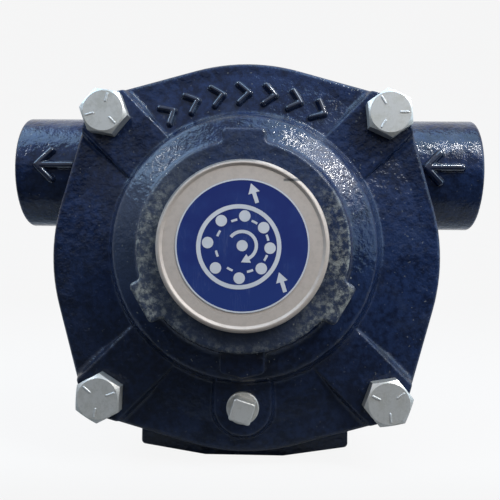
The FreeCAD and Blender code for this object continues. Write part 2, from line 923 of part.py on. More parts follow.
def bearing(y_low):
    """Pieces of one ball bearing that starts at y_low, by name."""
    y_high = y_low + bearing_width
    middle = (y_low + y_high) / 2
    groove = ball_radius + race_gap
    race = Part.makeTorus(ball_pitch_radius, groove, Vec(0, middle, 0), along_shaft)
    bore = shaft_radius + press_gap
    rim = bearing_outer - press_gap
    inner_bevel = shield_inset / 2
    outer = bevelled_ring(outer_shoulder, rim, y_low, y_high, inner_bevel, ring_bevel)
    inner = bevelled_ring(bore, inner_shoulder, y_low, y_high, ring_bevel, inner_bevel)
    cage_low = middle - cage_width / 2
    cage_high = middle + cage_width / 2
    cage = rod(ball_pitch_radius + cage_height / 2, cage_low, cage_high)
    cage = cage.cut(rod(ball_pitch_radius - cage_height / 2, y_low, y_high))
    balls = []
    pockets = []
    for k in range(ball_count):
        turn = k * 360.0 / ball_count
        ball = Part.makeSphere(ball_radius, Vec(ball_pitch_radius, middle, 0))
        balls.append(around_shaft(ball, turn))
        base = Vec(ball_pitch_radius - cage_height, middle, 0)
        pocket = Part.makeCylinder(ball_radius + cage_gap, 2 * cage_height, base, Vec(1, 0, 0))
        pockets.append(around_shaft(pocket, turn))
    shields = []
    for y in (y_low + shield_inset, y_high - shield_inset - shield_thickness):
        plate = rod(outer_shoulder - press_gap, y, y + shield_thickness)
        shields.append(plate.cut(rod(inner_shoulder + shield_gap, y - bite, y + shield_thickness + bite)))
    return {
        "outer_ring": outer.cut(race),
        "inner_ring": inner.cut(race),
        "balls": Part.makeCompound(balls),
        "cage": cage.cut(pockets),
        "shields": Part.makeCompound(shields),
    }


# Seals

def seal(floor, direction):
    """Pieces of one lip seal by name; direction is 1 if it points away from the chamber along +Y."""

    def ring(corners):
        return turned([(r, floor + direction * (seal_room + y), rounding) for r, y, rounding in corners])

    outer = seal_outer - press_gap
    inner = outer - seal_wall
    flange = shaft_radius + seal_flange
    flange_face = seal_width - seal_wall
    case = ring([
        (outer, 0, 0),
        (outer, seal_width, 0),
        (flange, seal_width, 0),
        (flange, flange_face, 0),
        (inner, flange_face, 0),
        (inner, 0, 0),
    ])
    edge = shaft_radius + lip_gap
    seat = edge + lip_neck
    spring_room = spring_wire + lip_gap
    lip = ring([
        (edge, lip_edge, 0),
        (edge + lip_nose, lip_depth, 0),
        (seat + lip_horn, lip_depth, 0),
        (seat + lip_horn, lip_edge - spring_room, 0),
        (seat, lip_edge - spring_room, 0),
        (seat, lip_edge + spring_room, 0),
        (seat + lip_nose, lip_edge + spring_room, 0),
        (seat + lip_web, flange_face - lip_hinge, 0),
        (flange - press_gap, flange_face - lip_skin, 0),
        (flange - press_gap, seal_width, 0),
        (edge + lip_back, seal_width, 0),
        (edge + lip_hinge, seal_width / 2, 0),
    ])
    spring_place = Vec(0, floor + direction * (seal_room + lip_edge), 0)
    spring = Part.makeTorus(seat + spring_room, spring_wire, spring_place, along_shaft)
    return {"case": case, "lip": lip, "spring": spring}


def snap_ring_start():
    """Front face of the snap ring behind the rear bearing."""
    return rear_bearing_end + snap_groove_gap


def rear_snap_ring():
    """Internal snap ring of the rear bearing, open at the top, with an ear at each end."""
    outer = bearing_outer + snap_groove_depth - snap_ring_gap
    inner = outer - snap_ring_height
    low = snap_ring_start()
    high = low + ring_thickness
    ring = rod(outer, low, high).cut(rod(inner, low - bite, high + bite))
    ring = ring.cut(opening(2 * outer, 90, snap_ring_opening, low, ring_thickness))
    ears = []
    holes = []
    for side in (-1, 1):
        angle = 90 + side * (snap_ring_opening / 2 + snap_ear_turn)
        place = outline_point(inner - snap_ear_sink, Vec(0, 0, 0), angle, low)
        ears.append(rod(snap_ear_radius, low, high, place.x, place.z))
        holes.append(rod(snap_ear_hole, low - bite, high + bite, place.x, place.z))
    return ring.multiFuse(ears).cut(holes).removeSplitter()


def main():
    """Write every piece."""
    os.makedirs("parts", exist_ok=True)
    save("pump_body", pump_body())
    save("end_cover", end_cover())
    save("cover_o_ring", cover_o_ring())
    save("cover_bolts", cover_bolts())
    save("drain_plug", drain_plug())
    save("bearing_cap", bearing_cap())
    save("cap_label", cap_label())
    save("drive_shaft", drive_shaft())
    save("rotor_key", rotor_key())
    save("rotor", rotor())
    for index in range(roller_count):
        save("roller_%d" % (index + 1), roller(index))
    places = ring_places()
    save("front_shaft_ring", shaft_ring(places["front"]))
    save("rear_shaft_ring", shaft_ring(places["rear"]))
    rotor_rings = [shaft_ring(places["rotor_front"]), shaft_ring(places["rotor_rear"])]
    save("rotor_retaining_rings", Part.makeCompound(rotor_rings))
    for end, start in (("front", front_bearing_end), ("rear", rear_bearing_start)):
        for name, solid in bearing(start).items():
            save(end + "_bearing_" + name, solid)
    for end, floor, direction in (("front", front_seal_floor, -1), ("rear", rear_seal_floor, 1)):
        for name, solid in seal(floor, direction).items():
            save(end + "_seal_" + name, solid)
    save("rear_snap_ring", rear_snap_ring())


main()
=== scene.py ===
"""Looks of a cast iron roller pump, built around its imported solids.

Every length is in metres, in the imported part's own frame: the shaft lies along Y, the cover is at
negative Y, +Z is up, and the origin is on the shaft axis at the face of the rear hub.
"""

import json
import logging
import math
from dataclasses import dataclass
from enum import Enum
from functools import reduce

import bmesh
import bpy
import numpy as np
from mathutils import Matrix, Vector


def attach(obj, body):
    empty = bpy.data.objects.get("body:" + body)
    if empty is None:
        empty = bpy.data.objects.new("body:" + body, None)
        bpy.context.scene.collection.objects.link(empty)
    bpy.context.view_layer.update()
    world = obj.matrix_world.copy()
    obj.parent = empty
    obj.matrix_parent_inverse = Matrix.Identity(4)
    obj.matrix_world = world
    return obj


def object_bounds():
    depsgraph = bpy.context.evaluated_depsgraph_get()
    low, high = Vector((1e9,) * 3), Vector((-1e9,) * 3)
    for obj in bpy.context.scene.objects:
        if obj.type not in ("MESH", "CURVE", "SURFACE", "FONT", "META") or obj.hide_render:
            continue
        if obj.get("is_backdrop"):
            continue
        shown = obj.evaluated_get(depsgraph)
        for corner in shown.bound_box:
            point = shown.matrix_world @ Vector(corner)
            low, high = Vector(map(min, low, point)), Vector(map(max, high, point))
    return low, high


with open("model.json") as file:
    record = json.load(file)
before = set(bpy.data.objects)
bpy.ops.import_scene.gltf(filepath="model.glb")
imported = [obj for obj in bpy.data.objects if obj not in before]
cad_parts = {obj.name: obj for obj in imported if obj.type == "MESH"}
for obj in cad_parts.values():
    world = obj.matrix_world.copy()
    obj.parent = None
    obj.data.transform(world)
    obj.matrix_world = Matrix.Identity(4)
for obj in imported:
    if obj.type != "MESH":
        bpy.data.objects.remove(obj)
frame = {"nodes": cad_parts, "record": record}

LOG = logging.getLogger("pump")
MM = 0.001

# Lumps to the metre of the enamel's slow, middling and fine changes of tone, and their shares
TONES = ((28.0, 0.35), (130.0, 0.30), (520.0, 0.35))

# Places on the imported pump
PARTING = -81.0 * MM
COVER_FACE = PARTING - 12.0 * MM
CONE_OUTER = 60.0 * MM
CONE_INNER = 46.0 * MM
CONE_RISE = 2.5 * MM
SHOULDER = PARTING - 20.0 * MM
RIM_FACE = PARTING - 34.5 * MM
CAP_RADIUS = 26.5 * MM
LUG_RADIUS = 36.9 * MM
LABEL_FACE = PARTING - 38.2 * MM
LABEL_RADIUS = 20.4 * MM
SCREW_REACH = 47.625 * MM
CASTING_DROP = 2.5 * MM
SCREW_FACE = PARTING - 20.95 * MM
PORT_AXIS = (0.0, PARTING + 22.0 * MM, 30.2 * MM)
PORT_RADIUS = 21.0 * MM
PORT_END = 85.4 * MM
PORT_BORE = 11.7 * MM
PORT_CHAMFER = 1.9 * MM
CHAMBER_DROP = 4.5 * MM
CHAMBER_RADIUS = 52.0 * MM
CHAMBER_END = PARTING + 47.0 * MM
BEARING_RADIUS = 26.0 * MM
FOOT_BOTTOM = -73.8 * MM
FOOT_HOLE = 3.97 * MM
FOOT_HOLES = (PARTING + 13.1 * MM, PARTING + 38.5 * MM)

# A distance past every piece, the way the cover faces, and full white
FAR = 1.0
FRONT = np.array([0.0, -1.0, 0.0])
WHITE = (1.0, 1.0, 1.0, 1.0)

Material = bpy.types.Material
Tree = bpy.types.NodeTree
Socket = bpy.types.NodeSocket
Value = float | tuple[float, ...] | Socket
Inputs = dict[str | int, Value]
Colour = tuple[float, float, float]
Point = tuple[float, float, float]
Flat = tuple[float, float]
Span = tuple[float, float]
Faces = list[list[int]]
Part = tuple[np.ndarray, Faces]


class Axis(Enum):
    """Direction of a bore."""

    X = 0
    Y = 1
    Z = 2


class Side(Enum):
    """Side of the pump, with the sign of its X."""

    INLET = 1
    OUTLET = -1

    def piece_name(self, piece: str) -> str:
        """Name of a piece on this side."""
        return f"{self.name.lower()}_{piece}"


# Meshes


def add_object(name: str, data: bpy.types.ID) -> bpy.types.Object:
    """Put a mesh, lamp or camera into the scene."""
    made = bpy.data.objects.new(name, data)
    bpy.context.scene.collection.objects.link(made)
    return made


def grid_quads(index: np.ndarray) -> np.ndarray:
    """Quads between neighbours of a grid of indices.

    Args:
        index: Grid of point indices.
    Returns:
        One row of four indices for each cell.
    """
    corners = [index[:-1, :-1], index[1:, :-1], index[1:, 1:], index[:-1, 1:]]
    return np.stack(corners, -1).reshape(-1, 4)


def plate(top: np.ndarray, bottom: np.ndarray) -> Part:
    """Closed plate between two grids of points.

    Point (i, j) of the top lies over point (i, j) of the bottom. Both grids become quads, and a strip of
    quads joins their borders.

    Args:
        top: Points of the outer sheet, rows by columns by 3.
        bottom: Points of the inner sheet, in the same order.
    Returns:
        Points and faces.
    """
    under = top.shape[0] * top.shape[1]
    index = np.arange(under).reshape(top.shape[:2])
    sheet = grid_quads(index)
    border = [index[0, :-1], index[:-1, -1], index[-1, :0:-1], index[:0:-1, 0], index[0, :1]]
    edge = np.concatenate(border)
    faces = sheet.tolist() + (sheet[:, ::-1] + under).tolist()
    faces += np.stack([edge[:-1], edge[1:], edge[1:] + under, edge[:-1] + under], -1).tolist()
    return np.concatenate([top.reshape(-1, 3), bottom.reshape(-1, 3)]), faces


def piece(name: str, parts: list[Part], smooth: bool = True) -> bpy.types.Object:
    """One mesh object from closed parts, with its normals pointing outwards.

    Args:
        name: Name of the object and its mesh.
        parts: Points and faces of each closed part.
        smooth: Whether its faces are shaded smooth.
    Returns:
        The object, at the origin.
    """
    faces: Faces = []
    count = 0
    for points, part_faces in parts:
        faces += [[corner + count for corner in face] for face in part_faces]
        count += len(points)
    mesh = bpy.data.meshes.new(name)
    mesh.from_pydata(np.concatenate([points for points, _ in parts]).tolist(), [], faces)
    shell = bmesh.new()
    shell.from_mesh(mesh)
    bmesh.ops.remove_doubles(shell, verts=shell.verts, dist=1e-7)
    bmesh.ops.recalc_face_normals(shell, faces=shell.faces)
    for face in shell.faces:
        face.smooth = smooth
    shell.to_mesh(mesh)
    shell.free()
    return add_object(name, mesh)


def dress(made: bpy.types.Object, finish: Material, body: str) -> None:
    """Give a new piece its material and the body that it rides on.

    Args:
        made: The piece.
        finish: Its material.
        body: Body of the part.
    """
    made.data.materials.append(finish)
    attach(made, body)
    LOG.info("%s: %d faces on %s", made.name, len(made.data.polygons), body)


# Shader nodes


@dataclass(frozen=True)
class Lumps:
    """Patches cut from noise: lumps to the metre, octaves, their roughness, and the ends of the cut."""

    scale: float
    detail: float
    rough: float
    low: float
    high: float


DUST_PATCHES = Lumps(70.0, 3.0, 0.6, 0.42, 0.68)
DUST_GRAIN = Lumps(1500.0, 2.0, 0.7, 0.35, 0.65)


class Graph:
    """Short calls that place nodes in one tree and join them."""

    def __init__(self, tree: Tree) -> None:
        """Work on this tree."""
        self.tree = tree

    def feed(self, socket: Socket, value: Value) -> None:
        """Join a socket to another, or set its value.

        Args:
            socket: Socket that takes the value.
            value: Another socket, or a number or colour.
        """
        if isinstance(value, Socket):
            self.tree.links.new(value, socket)
        else:
            socket.default_value = value

    def node(self, kind: str, inputs: Inputs | None = None, **settings: object) -> bpy.types.Node:
        """Place a node.

        Args:
            kind: Its type.
            inputs: What goes into its sockets, by name or place.
            settings: Its own options.
        Returns:
            The node.
        """
        node = self.tree.nodes.new(kind)
        for name, value in settings.items():
            setattr(node, name, value)
        for name, value in (inputs or {}).items():
            self.feed(node.inputs[name], value)
        return node

    def math(self, operation: str, first: Value, second: Value = 0.0) -> Socket:
        """Arithmetic on one or two values."""
        return self.node("ShaderNodeMath", {0: first, 1: second}, operation=operation).outputs[0]

    def chain(self, operation: str, values: tuple[Value, ...]) -> Socket:
        """One operation carried over several values."""
        return reduce(lambda first, second: self.math(operation, first, second), values)

    def product(self, *values: Value) -> Socket:
        """Product of several values."""
        return self.chain("MULTIPLY", values)

    def total(self, *values: Value) -> Socket:
        """Sum of several values."""
        return self.chain("ADD", values)

    def most(self, *values: Value) -> Socket:
        """Highest of several values."""
        return self.chain("MAXIMUM", values)

    def rest(self, value: Value) -> Socket:
        """What is missing from 1."""
        return self.math("SUBTRACT", 1.0, value)

    def line(self, value: Value, slope: float, start: Value) -> Socket:
        """Start plus slope times a value."""
        return self.total(self.product(value, slope), start)

    def off(self, value: Value, middle: float) -> Socket:
        """Distance of a value from a middle one."""
        return self.math("ABSOLUTE", self.math("SUBTRACT", value, middle))

    def ease(self, value: Value, low: float, high: float) -> Socket:
        """Smooth step from 0 at low to 1 at high, or down if low is the larger."""
        inputs = {"Value": value, "From Min": low, "From Max": high}
        return self.node("ShaderNodeMapRange", inputs, interpolation_type="SMOOTHSTEP").outputs["Result"]

    def mix(self, share: Value, first: Value, second: Value) -> Socket:
        """Colour between two colours.

        Args:
            share: Weight of the second.
            first: First colour.
            second: Second colour.
        Returns:
            The colour's socket.
        """
        node = self.node("ShaderNodeMix", data_type="RGBA")
        for place, value in ((0, share), (6, first), (7, second)):
            if isinstance(value, tuple) and len(value) == 3:
                value = (*value, 1.0)
            self.feed(node.inputs[place], value)
        return node.outputs[2]

    def noise(self, place: Value, scale: Value, detail: float = 2.0, rough: float = 0.5) -> Socket:
        """Smooth random value about 0.5, with lumps of about one over scale."""
        inputs = {"Vector": place, "Scale": scale, "Detail": detail, "Roughness": rough}
        return self.node("ShaderNodeTexNoise", inputs).outputs[0]

    def patches(self, place: Value, lumps: Lumps) -> Socket:
        """Soft patches from 0 to 1."""
        return self.ease(self.noise(place, lumps.scale, lumps.detail, lumps.rough), lumps.low, lumps.high)

    def openness(self, reach: Value, inside: bool = False) -> Socket:
        """Share of open room that the piece leaves within a reach, over its surface or under it."""
        settings = {"inside": inside, "only_local": True, "samples": 6}
        return self.node("ShaderNodeAmbientOcclusion", {"Distance": reach}, **settings).outputs["AO"]

    def place(self) -> Socket:
        """Place on the object."""
        return self.node("ShaderNodeTexCoord").outputs["Object"]

    def split(self, vector: Value) -> tuple[Socket, ...]:
        """X, Y and Z of a vector."""
        return tuple(self.node("ShaderNodeSeparateXYZ", {0: vector}).outputs)

    def reach(self, first: Value, second: Value) -> Socket:
        """Distance from the origin of a flat point."""
        return self.math("SQRT", self.total(self.product(first, first), self.product(second, second)))


def new_group(name: str, inputs: dict[str, float], outputs: list[str]) -> tuple[Graph, dict, dict]:
    """Start a node group.

    Args:
        name: Its name.
        inputs: Its value inputs with their defaults.
        outputs: Its value outputs.
    Returns:
        The graph, the sockets that come in by name, and the sockets that go out by name.
    """
    tree = bpy.data.node_groups.new(name, "ShaderNodeTree")
    for socket, value in inputs.items():
        made = tree.interface.new_socket(socket, in_out="INPUT", socket_type="NodeSocketFloat")
        made.default_value = value
    for socket in outputs:
        tree.interface.new_socket(socket, in_out="OUTPUT", socket_type="NodeSocketFloat")
    graph = Graph(tree)
    start = graph.node("NodeGroupInput")
    end = graph.node("NodeGroupOutput")
    return graph, {s.name: s for s in start.outputs}, {s.name: s for s in end.inputs}


def edge_wear_group() -> Tree:
    """Mask of worn outer edges: the inside of a convex edge is close to two faces, broken up by noise.

    Returns:
        The node group.
    """
    graph, given, out = new_group("Edge wear", {"Reach": 0.001, "Spots": 600.0, "Amount": 0.5}, ["Mask"])
    edge = graph.ease(graph.openness(given["Reach"], inside=True), 0.86, 0.45)
    spots = graph.noise(graph.place(), given["Spots"], 4.0, 0.65)
    broken = graph.ease(graph.line(edge, 0.45, spots), 0.78, 0.95)
    graph.feed(out["Mask"], graph.product(broken, edge, given["Amount"]))
    return graph.tree


def dust_group() -> Tree:
    """Mask of settled dust: hollows and faces that look up gather it, in soft patches with a fine grain.

    Returns:
        The node group.
    """
    graph, given, out = new_group("Settled dust", {"Reach": 0.006, "Amount": 0.5}, ["Mask"])
    hollow = graph.ease(graph.openness(given["Reach"]), 0.85, 0.3)
    up = graph.ease(graph.split(graph.node("ShaderNodeNewGeometry").outputs["Normal"])[2], 0.2, 1.0)
    held = graph.most(graph.product(hollow, 0.7), up)
    place = graph.place()
    grain = graph.line(graph.patches(place, DUST_GRAIN), 0.6, 0.4)
    graph.feed(out["Mask"], graph.product(held, graph.patches(place, DUST_PATCHES), grain, given["Amount"]))
    return graph.tree


def cast_skin_group() -> Tree:
    """Height of rough castings under thick paint: wide waves, lumps and grit, and a slow change of tone.

    Returns:
        The node group.
    """
    graph, given, out = new_group("Cast skin", {"Lumps": 560.0, "Grit": 0.22}, ["Height", "Tone"])
    place = graph.place()
    waves = graph.product(graph.noise(place, 150.0, 1.0), 0.9)
    lumps = graph.product(graph.noise(place, given["Lumps"]), 0.75)
    grit = graph.product(graph.noise(place, 1500.0, 1.0), given["Grit"])
    graph.feed(out["Height"], graph.total(waves, lumps, grit))
    tones = [graph.product(graph.noise(place, scale, 3.0, 0.6), share) for scale, share in TONES]
    graph.feed(out["Tone"], graph.ease(graph.total(*tones), 0.4, 0.6))
    return graph.tree


def lathe_group() -> Tree:
    """Height of fine lathe rings round the shaft axis: noise of radius and depth, slow round the turn.

    Returns:
        The node group.
    """
    graph, given, out = new_group("Lathe rings", {"Rings": 4000.0}, ["Height"])
    x, y, z = graph.split(graph.place())
    radius = graph.reach(x, z)
    slow = graph.product(graph.math("ARCTAN2", z, x), 0.0004)
    across = graph.node("ShaderNodeCombineXYZ", {0: radius, 1: y, 2: slow}).outputs[0]
    graph.feed(out["Height"], graph.noise(across, given["Rings"], 3.0, 0.6))
    return graph.tree


def scratch_group() -> Tree:
    """Mask of fine handling scratches: thin level lines of two stretched noises.

    Returns:
        The node group.
    """
    graph, given, out = new_group("Scratches", {"Scale": 90.0, "Amount": 0.5}, ["Mask"])
    place = graph.place()
    fine = graph.product(given["Scale"], 6.0)
    lines = []
    for turn in (0.5, 2.1):
        inputs = {"Vector": place, "Rotation": (0.3, turn, 0.2), "Scale": (1.0, 1.0, 0.1)}
        field = graph.noise(graph.node("ShaderNodeMapping", inputs).outputs[0], fine)
        lines.append(graph.ease(graph.off(field, 0.5), 0.012, 0.002))
    patches = graph.ease(graph.noise(place, given["Scale"]), 0.5, 0.65)
    graph.feed(out["Mask"], graph.product(graph.most(*lines), patches, given["Amount"]))
    return graph.tree


@dataclass(frozen=True)
class Effects:
    """The shared effects, each built once."""

    edge_wear: Tree
    dust: Tree
    cast_skin: Tree
    lathe: Tree
    scratches: Tree

    @classmethod
    def build(cls) -> "Effects":
        """Build every group."""
        return cls(edge_wear_group(), dust_group(), cast_skin_group(), lathe_group(), scratch_group())


class Surface(Graph):
    """Node tree of one material around its Principled shader."""

    def __init__(self, name: str, effects: Effects, mirror: float = 0.5) -> None:
        """Start a material.

        Args:
            name: Its name.
            effects: The shared effects.
            mirror: Strength of its reflections, where 0.5 is that of plain paint or plastic.
        """
        self.material = bpy.data.materials.new(name)
        self.material.use_nodes = True
        super().__init__(self.material.node_tree)
        self.shader = self.tree.nodes["Principled BSDF"]
        self.effects = effects
        self.feed(self.shader.inputs["Specular IOR Level"], mirror)

    def effect(self, group: Tree, **inputs: Value) -> dict[str, Socket]:
        """Place a shared effect.

        Args:
            group: Its node group.
            inputs: Its values by name.
        Returns:
            Its outputs by name.
        """
        node = self.node("ShaderNodeGroup", node_tree=group)
        for name, value in inputs.items():
            self.feed(node.inputs[name], value)
        return {socket.name: socket for socket in node.outputs}

    def finish(
        self,
        colour: Value,
        roughness: Value,
        height: Value,
        depth: float,
        metal: Value = 0.0,
        bevel: float = 0.0,
    ) -> None:
        """Join colour, roughness, metal and relief to the shader.

        Args:
            colour: Base colour.
            roughness: Roughness.
            height: Relief from 0 to 1.
            depth: Metres of relief between 0 and 1.
            metal: Metallic share.
            bevel: Radius to which the shading rounds sharp edges.
        """
        relief = self.node("ShaderNodeBump", {"Height": height, "Distance": depth, "Strength": 1.0})
        if bevel:
            rounded = self.node("ShaderNodeBevel", {"Radius": bevel}, samples=4)
            self.feed(relief.inputs["Normal"], rounded.outputs[0])
        names = ("Base Color", "Roughness", "Metallic", "Normal")
        for name, value in zip(names, (colour, roughness, metal, relief.outputs[0])):
            self.feed(self.shader.inputs[name], value)


# Finishes


@dataclass(frozen=True)
class BareRegion:
    """Cylinder in which the iron is machined and not painted."""

    axis: Axis
    radius: float
    low: float = -FAR
    high: float = FAR
    centre: Point = (0.0, 0.0, 0.0)

    def mask(self, graph: Graph) -> Socket:
        """1 inside the cylinder.

        Args:
            graph: Nodes of the material.
        Returns:
            The mask.
        """
        offset = graph.node("ShaderNodeVectorMath", {0: graph.place(), 1: self.centre}, operation="SUBTRACT")
        parts = list(graph.split(offset.outputs[0]))
        along = parts.pop(self.axis.value)
        inside = graph.math("LESS_THAN", graph.reach(*parts), self.radius)
        above = graph.math("GREATER_THAN", along, self.low)
        return graph.product(inside, above, graph.math("LESS_THAN", along, self.high))


@dataclass(frozen=True)
class RimDirtAndSheen:
    """Masks of the dust, haze and rubbed spots on the hub of the cover, and of a painted sheen on its upper
    left shoulder; each span is where one fades in.
    """

    hub_edge: Span = (CONE_INNER, CONE_INNER - 3.0 * MM)
    shoulder_left: Span = (-6.0 * MM, -32.0 * MM)
    shoulder_height: Span = (-26.0 * MM, -4.0 * MM)
    shoulder_front: Span = (SHOULDER, SHOULDER - 2.0 * MM)
    rim_edge: Span = (LUG_RADIUS + 1.0 * MM, LUG_RADIUS - 0.5 * MM)
    rim_front: Span = (RIM_FACE + 1.4 * MM, RIM_FACE + 0.5 * MM)
    side_reach: Span = (13.0 * MM, 27.0 * MM)
    side_height: Span = (27.0 * MM, 8.0 * MM)
    lug_reach: Span = (29.0 * MM, 33.5 * MM)
    lug_height: Span = (20.0 * MM, 5.0 * MM)
    film_height: Span = (5.0 * MM, -25.0 * MM)
    side_lumps: float = 60.0
    mottle: Lumps = Lumps(330.0, 8.0, 0.85, 0.46, 0.62)

    def hub(self, graph: Graph) -> Socket:
        """1 on the hub, inside the foot of its cone."""
        x, _, z = graph.split(graph.place())
        return graph.ease(graph.reach(x, z), *self.hub_edge)

    def shoulder_haze_and_sheen(self, graph: Graph) -> Socket:
        """1 on the shoulder at the left and upper left of the rim: the lighter haze colour there is partly
        dust and partly painted light from that side, and it stops low down, where the shoulder is in shade.

        Args:
            graph: Nodes of the material.
        Returns:
            The mask.
        """
        x, y, z = graph.split(graph.place())
        left = graph.product(graph.ease(x, *self.shoulder_left), graph.ease(z, *self.shoulder_height))
        return graph.product(self.hub(graph), left, graph.ease(y, *self.shoulder_front))

    def rim(self, graph: Graph) -> Socket:
        """1 on the faces of the rim and its lugs."""
        x, y, z = graph.split(graph.place())
        return graph.product(graph.ease(graph.reach(x, z), *self.rim_edge), graph.ease(y, *self.rim_front))

    def film(self, graph: Graph) -> Socket:
        """Thin dust over the faces of the rim, thicker low down."""
        height = graph.split(graph.place())[2]
        return graph.product(self.rim(graph), graph.line(graph.ease(height, *self.film_height), 0.35, 0.22))

    def spots(self, graph: Graph) -> Socket:
        """Mottled spots on the rim: most at both its sides, uneven, fewer on its lugs, and few at its top.

        Args:
            graph: Nodes of the material.
        Returns:
            The mask.
        """
        place = graph.place()
        x, _, z = graph.split(place)
        across = graph.ease(graph.off(x, 0.0), *self.side_reach)
        uneven = graph.line(graph.noise(place, self.side_lumps), 1.6, -0.1)
        handled = graph.product(across, graph.ease(z, *self.side_height), uneven)
        lugs = graph.product(graph.ease(graph.reach(x, z), *self.lug_reach), graph.ease(z, *self.lug_height))
        amount = graph.total(graph.product(handled, 0.9), graph.product(lugs, 0.45), 0.07)
        return graph.product(self.rim(graph), graph.patches(place, self.mottle), amount)


@dataclass(frozen=True)
class EnamelledIron:
    """Thick glossy enamel over rough cast iron, dusty, worn on its edges and bare where it is machined, with
    painted shade towards the lower left and painted light towards the upper right and on its edges.
    """

    name: str
    bare: tuple[BareRegion, ...] = ()
    rim: RimDirtAndSheen | None = None
    deep: Colour = (0.0040, 0.0085, 0.026)
    light: Colour = (0.012, 0.024, 0.067)
    haze_and_sheen: Colour = (0.042, 0.052, 0.076)
    painted_shade: Colour = (0.012, 0.013, 0.013)
    dust: Colour = (0.25, 0.25, 0.22)
    chip_and_edge_highlight: Colour = (0.16, 0.18, 0.22)
    iron: Colour = (0.20, 0.19, 0.18)
    rust: Colour = (0.12, 0.07, 0.045)
    hazed: float = 0.36
    dusted: float = 0.30
    edge_wear_and_highlight: float = 0.75
    gloss: float = 0.06
    mirror: float = 0.36
    wear_reach: float = 1.0 * MM
    relief: float = 0.30 * MM
    edge: float = 1.0 * MM
    slant: float = 0.35
    painted_light_span: Span = (-60.0 * MM, 0.0)
    clouds: Lumps = Lumps(45.0, 5.0, 0.65, 0.48, 0.75)
    specks: Lumps = Lumps(900.0, 1.0, 0.5, 0.72, 0.78)
    rust_patches: Lumps = Lumps(160.0, 4.0, 0.6, 0.5, 0.7)

    def build(self, effects: Effects) -> Material:
        """Make the material: the paint, and the bare iron where the regions are.

        Args:
            effects: The shared effects.
        Returns:
            The material.
        """
        s = Surface(self.name, effects, self.mirror)
        skin = s.effect(effects.cast_skin)
        colour, dull = self.paint(s, skin["Tone"])
        roughness = s.total(s.product(skin["Tone"], 0.08), self.gloss, s.product(dull, 0.3))
        height, metal = skin["Height"], 0.0
        if self.bare:
            bare = s.most(*[region.mask(s) for region in self.bare])
            rust = s.patches(s.place(), self.rust_patches)
            colour = s.mix(bare, colour, s.mix(s.product(rust, 0.35), self.iron, self.rust))
            roughness = s.total(s.product(roughness, s.rest(bare)), s.product(bare, 0.42))
            metal = s.product(bare, s.line(rust, -0.5, 0.9))
            height = s.product(height, s.line(bare, -0.85, 1.0))
        s.finish(colour, roughness, height, self.relief, metal, self.edge)
        return s.material

    def paint(self, s: Surface, tone: Socket) -> tuple[Socket, Socket]:
        """Colour of the paint under its dirt, with painted shade and light.

        Painted shade fades out and haze, dust and specks fade in with the height z + slant x, so the lower
        left, where the hub's shadow falls, is painted darkest and the upper right, where the light falls, is
        the lightest and dustiest.

        Args:
            s: The material's nodes.
            tone: Share of the light paint over the deep one.
        Returns:
            The colour, and how dull the dirt leaves it.
        """
        place = s.place()
        x, _, z = s.split(place)
        # high runs from 0 at the lower left to 1 at the upper right, with the light: painted shade where it
        # is low, more haze, dust and specks where it is high
        high = s.ease(s.line(x, self.slant, z), *self.painted_light_span)
        haze_and_sheen = s.product(s.patches(place, self.clouds), high, self.hazed)
        dust = s.product(s.effect(s.effects.dust, Amount=self.dusted)["Mask"], s.line(high, 0.75, 0.25))
        specks = s.patches(place, self.specks)
        colour = s.mix(tone, self.deep, self.light)
        # Painted shade: the paint is darkened towards the lower left, where the hub's shadow falls
        colour = s.mix(s.product(s.rest(high), 0.5), colour, self.painted_shade)
        # Haze, partly real and partly painted light, strongest towards the upper right
        colour = s.mix(haze_and_sheen, colour, self.haze_and_sheen)
        colour = s.mix(dust, colour, self.dust)
        colour = s.mix(s.product(specks, s.line(high, 0.25, 0.08)), colour, self.dust)
        if self.rim:
            film, spots = self.rim.film(s), self.rim.spots(s)
            dust = s.most(dust, s.product(film, 0.5), spots)
            # Dust film on the rim, and on the upper left shoulder a lighter colour that is partly painted
            # sheen
            colour = s.mix(s.total(film, s.product(self.rim.shoulder_haze_and_sheen(s), 0.7)), colour, self.haze_and_sheen)
            colour = s.mix(spots, colour, self.dust)
            colour = s.mix(s.product(specks, self.rim.hub(s), 0.5), colour, self.dust)
        # Lighter edges: partly worn paint, partly a painted highlight along the cast edges
        wear = s.effect(s.effects.edge_wear, Reach=self.wear_reach, Amount=self.edge_wear_and_highlight)["Mask"]
        return s.mix(wear, colour, self.chip_and_edge_highlight), s.most(dust, haze_and_sheen)


@dataclass(frozen=True)
class CapShadowAndMark:
    """Painted shadow in an arc round the upper left edge of the cap, and one short dark level mark, the
    knock, at its upper right.
    """

    colour: Colour = (0.10, 0.095, 0.09)
    share: float = 0.85
    arc_radius: float = CAP_RADIUS - 0.35 * MM
    arc_width: Span = (0.6 * MM, 0.15 * MM)
    arc_left: Span = (7.0 * MM, 1.0 * MM)
    arc_height: Span = (6.0 * MM, 14.0 * MM)
    knock_place: Flat = (14.9 * MM, 20.1 * MM)
    knock_length: Span = (2.9 * MM, 2.3 * MM)
    knock_width: Span = (0.55 * MM, 0.25 * MM)

    def mask(self, graph: Graph) -> Socket:
        """Share of the dark colour.

        Args:
            graph: Nodes of the material.
        Returns:
            The mask.
        """
        x, _, z = graph.split(graph.place())
        line = graph.ease(graph.off(graph.reach(x, z), self.arc_radius), *self.arc_width)
        arc = graph.product(line, graph.ease(x, *self.arc_left), graph.ease(z, *self.arc_height))
        along = graph.ease(graph.off(x, self.knock_place[0]), *self.knock_length)
        across = graph.ease(graph.off(z, self.knock_place[1]), *self.knock_width)
        return graph.product(graph.most(arc, graph.product(across, along)), self.share)


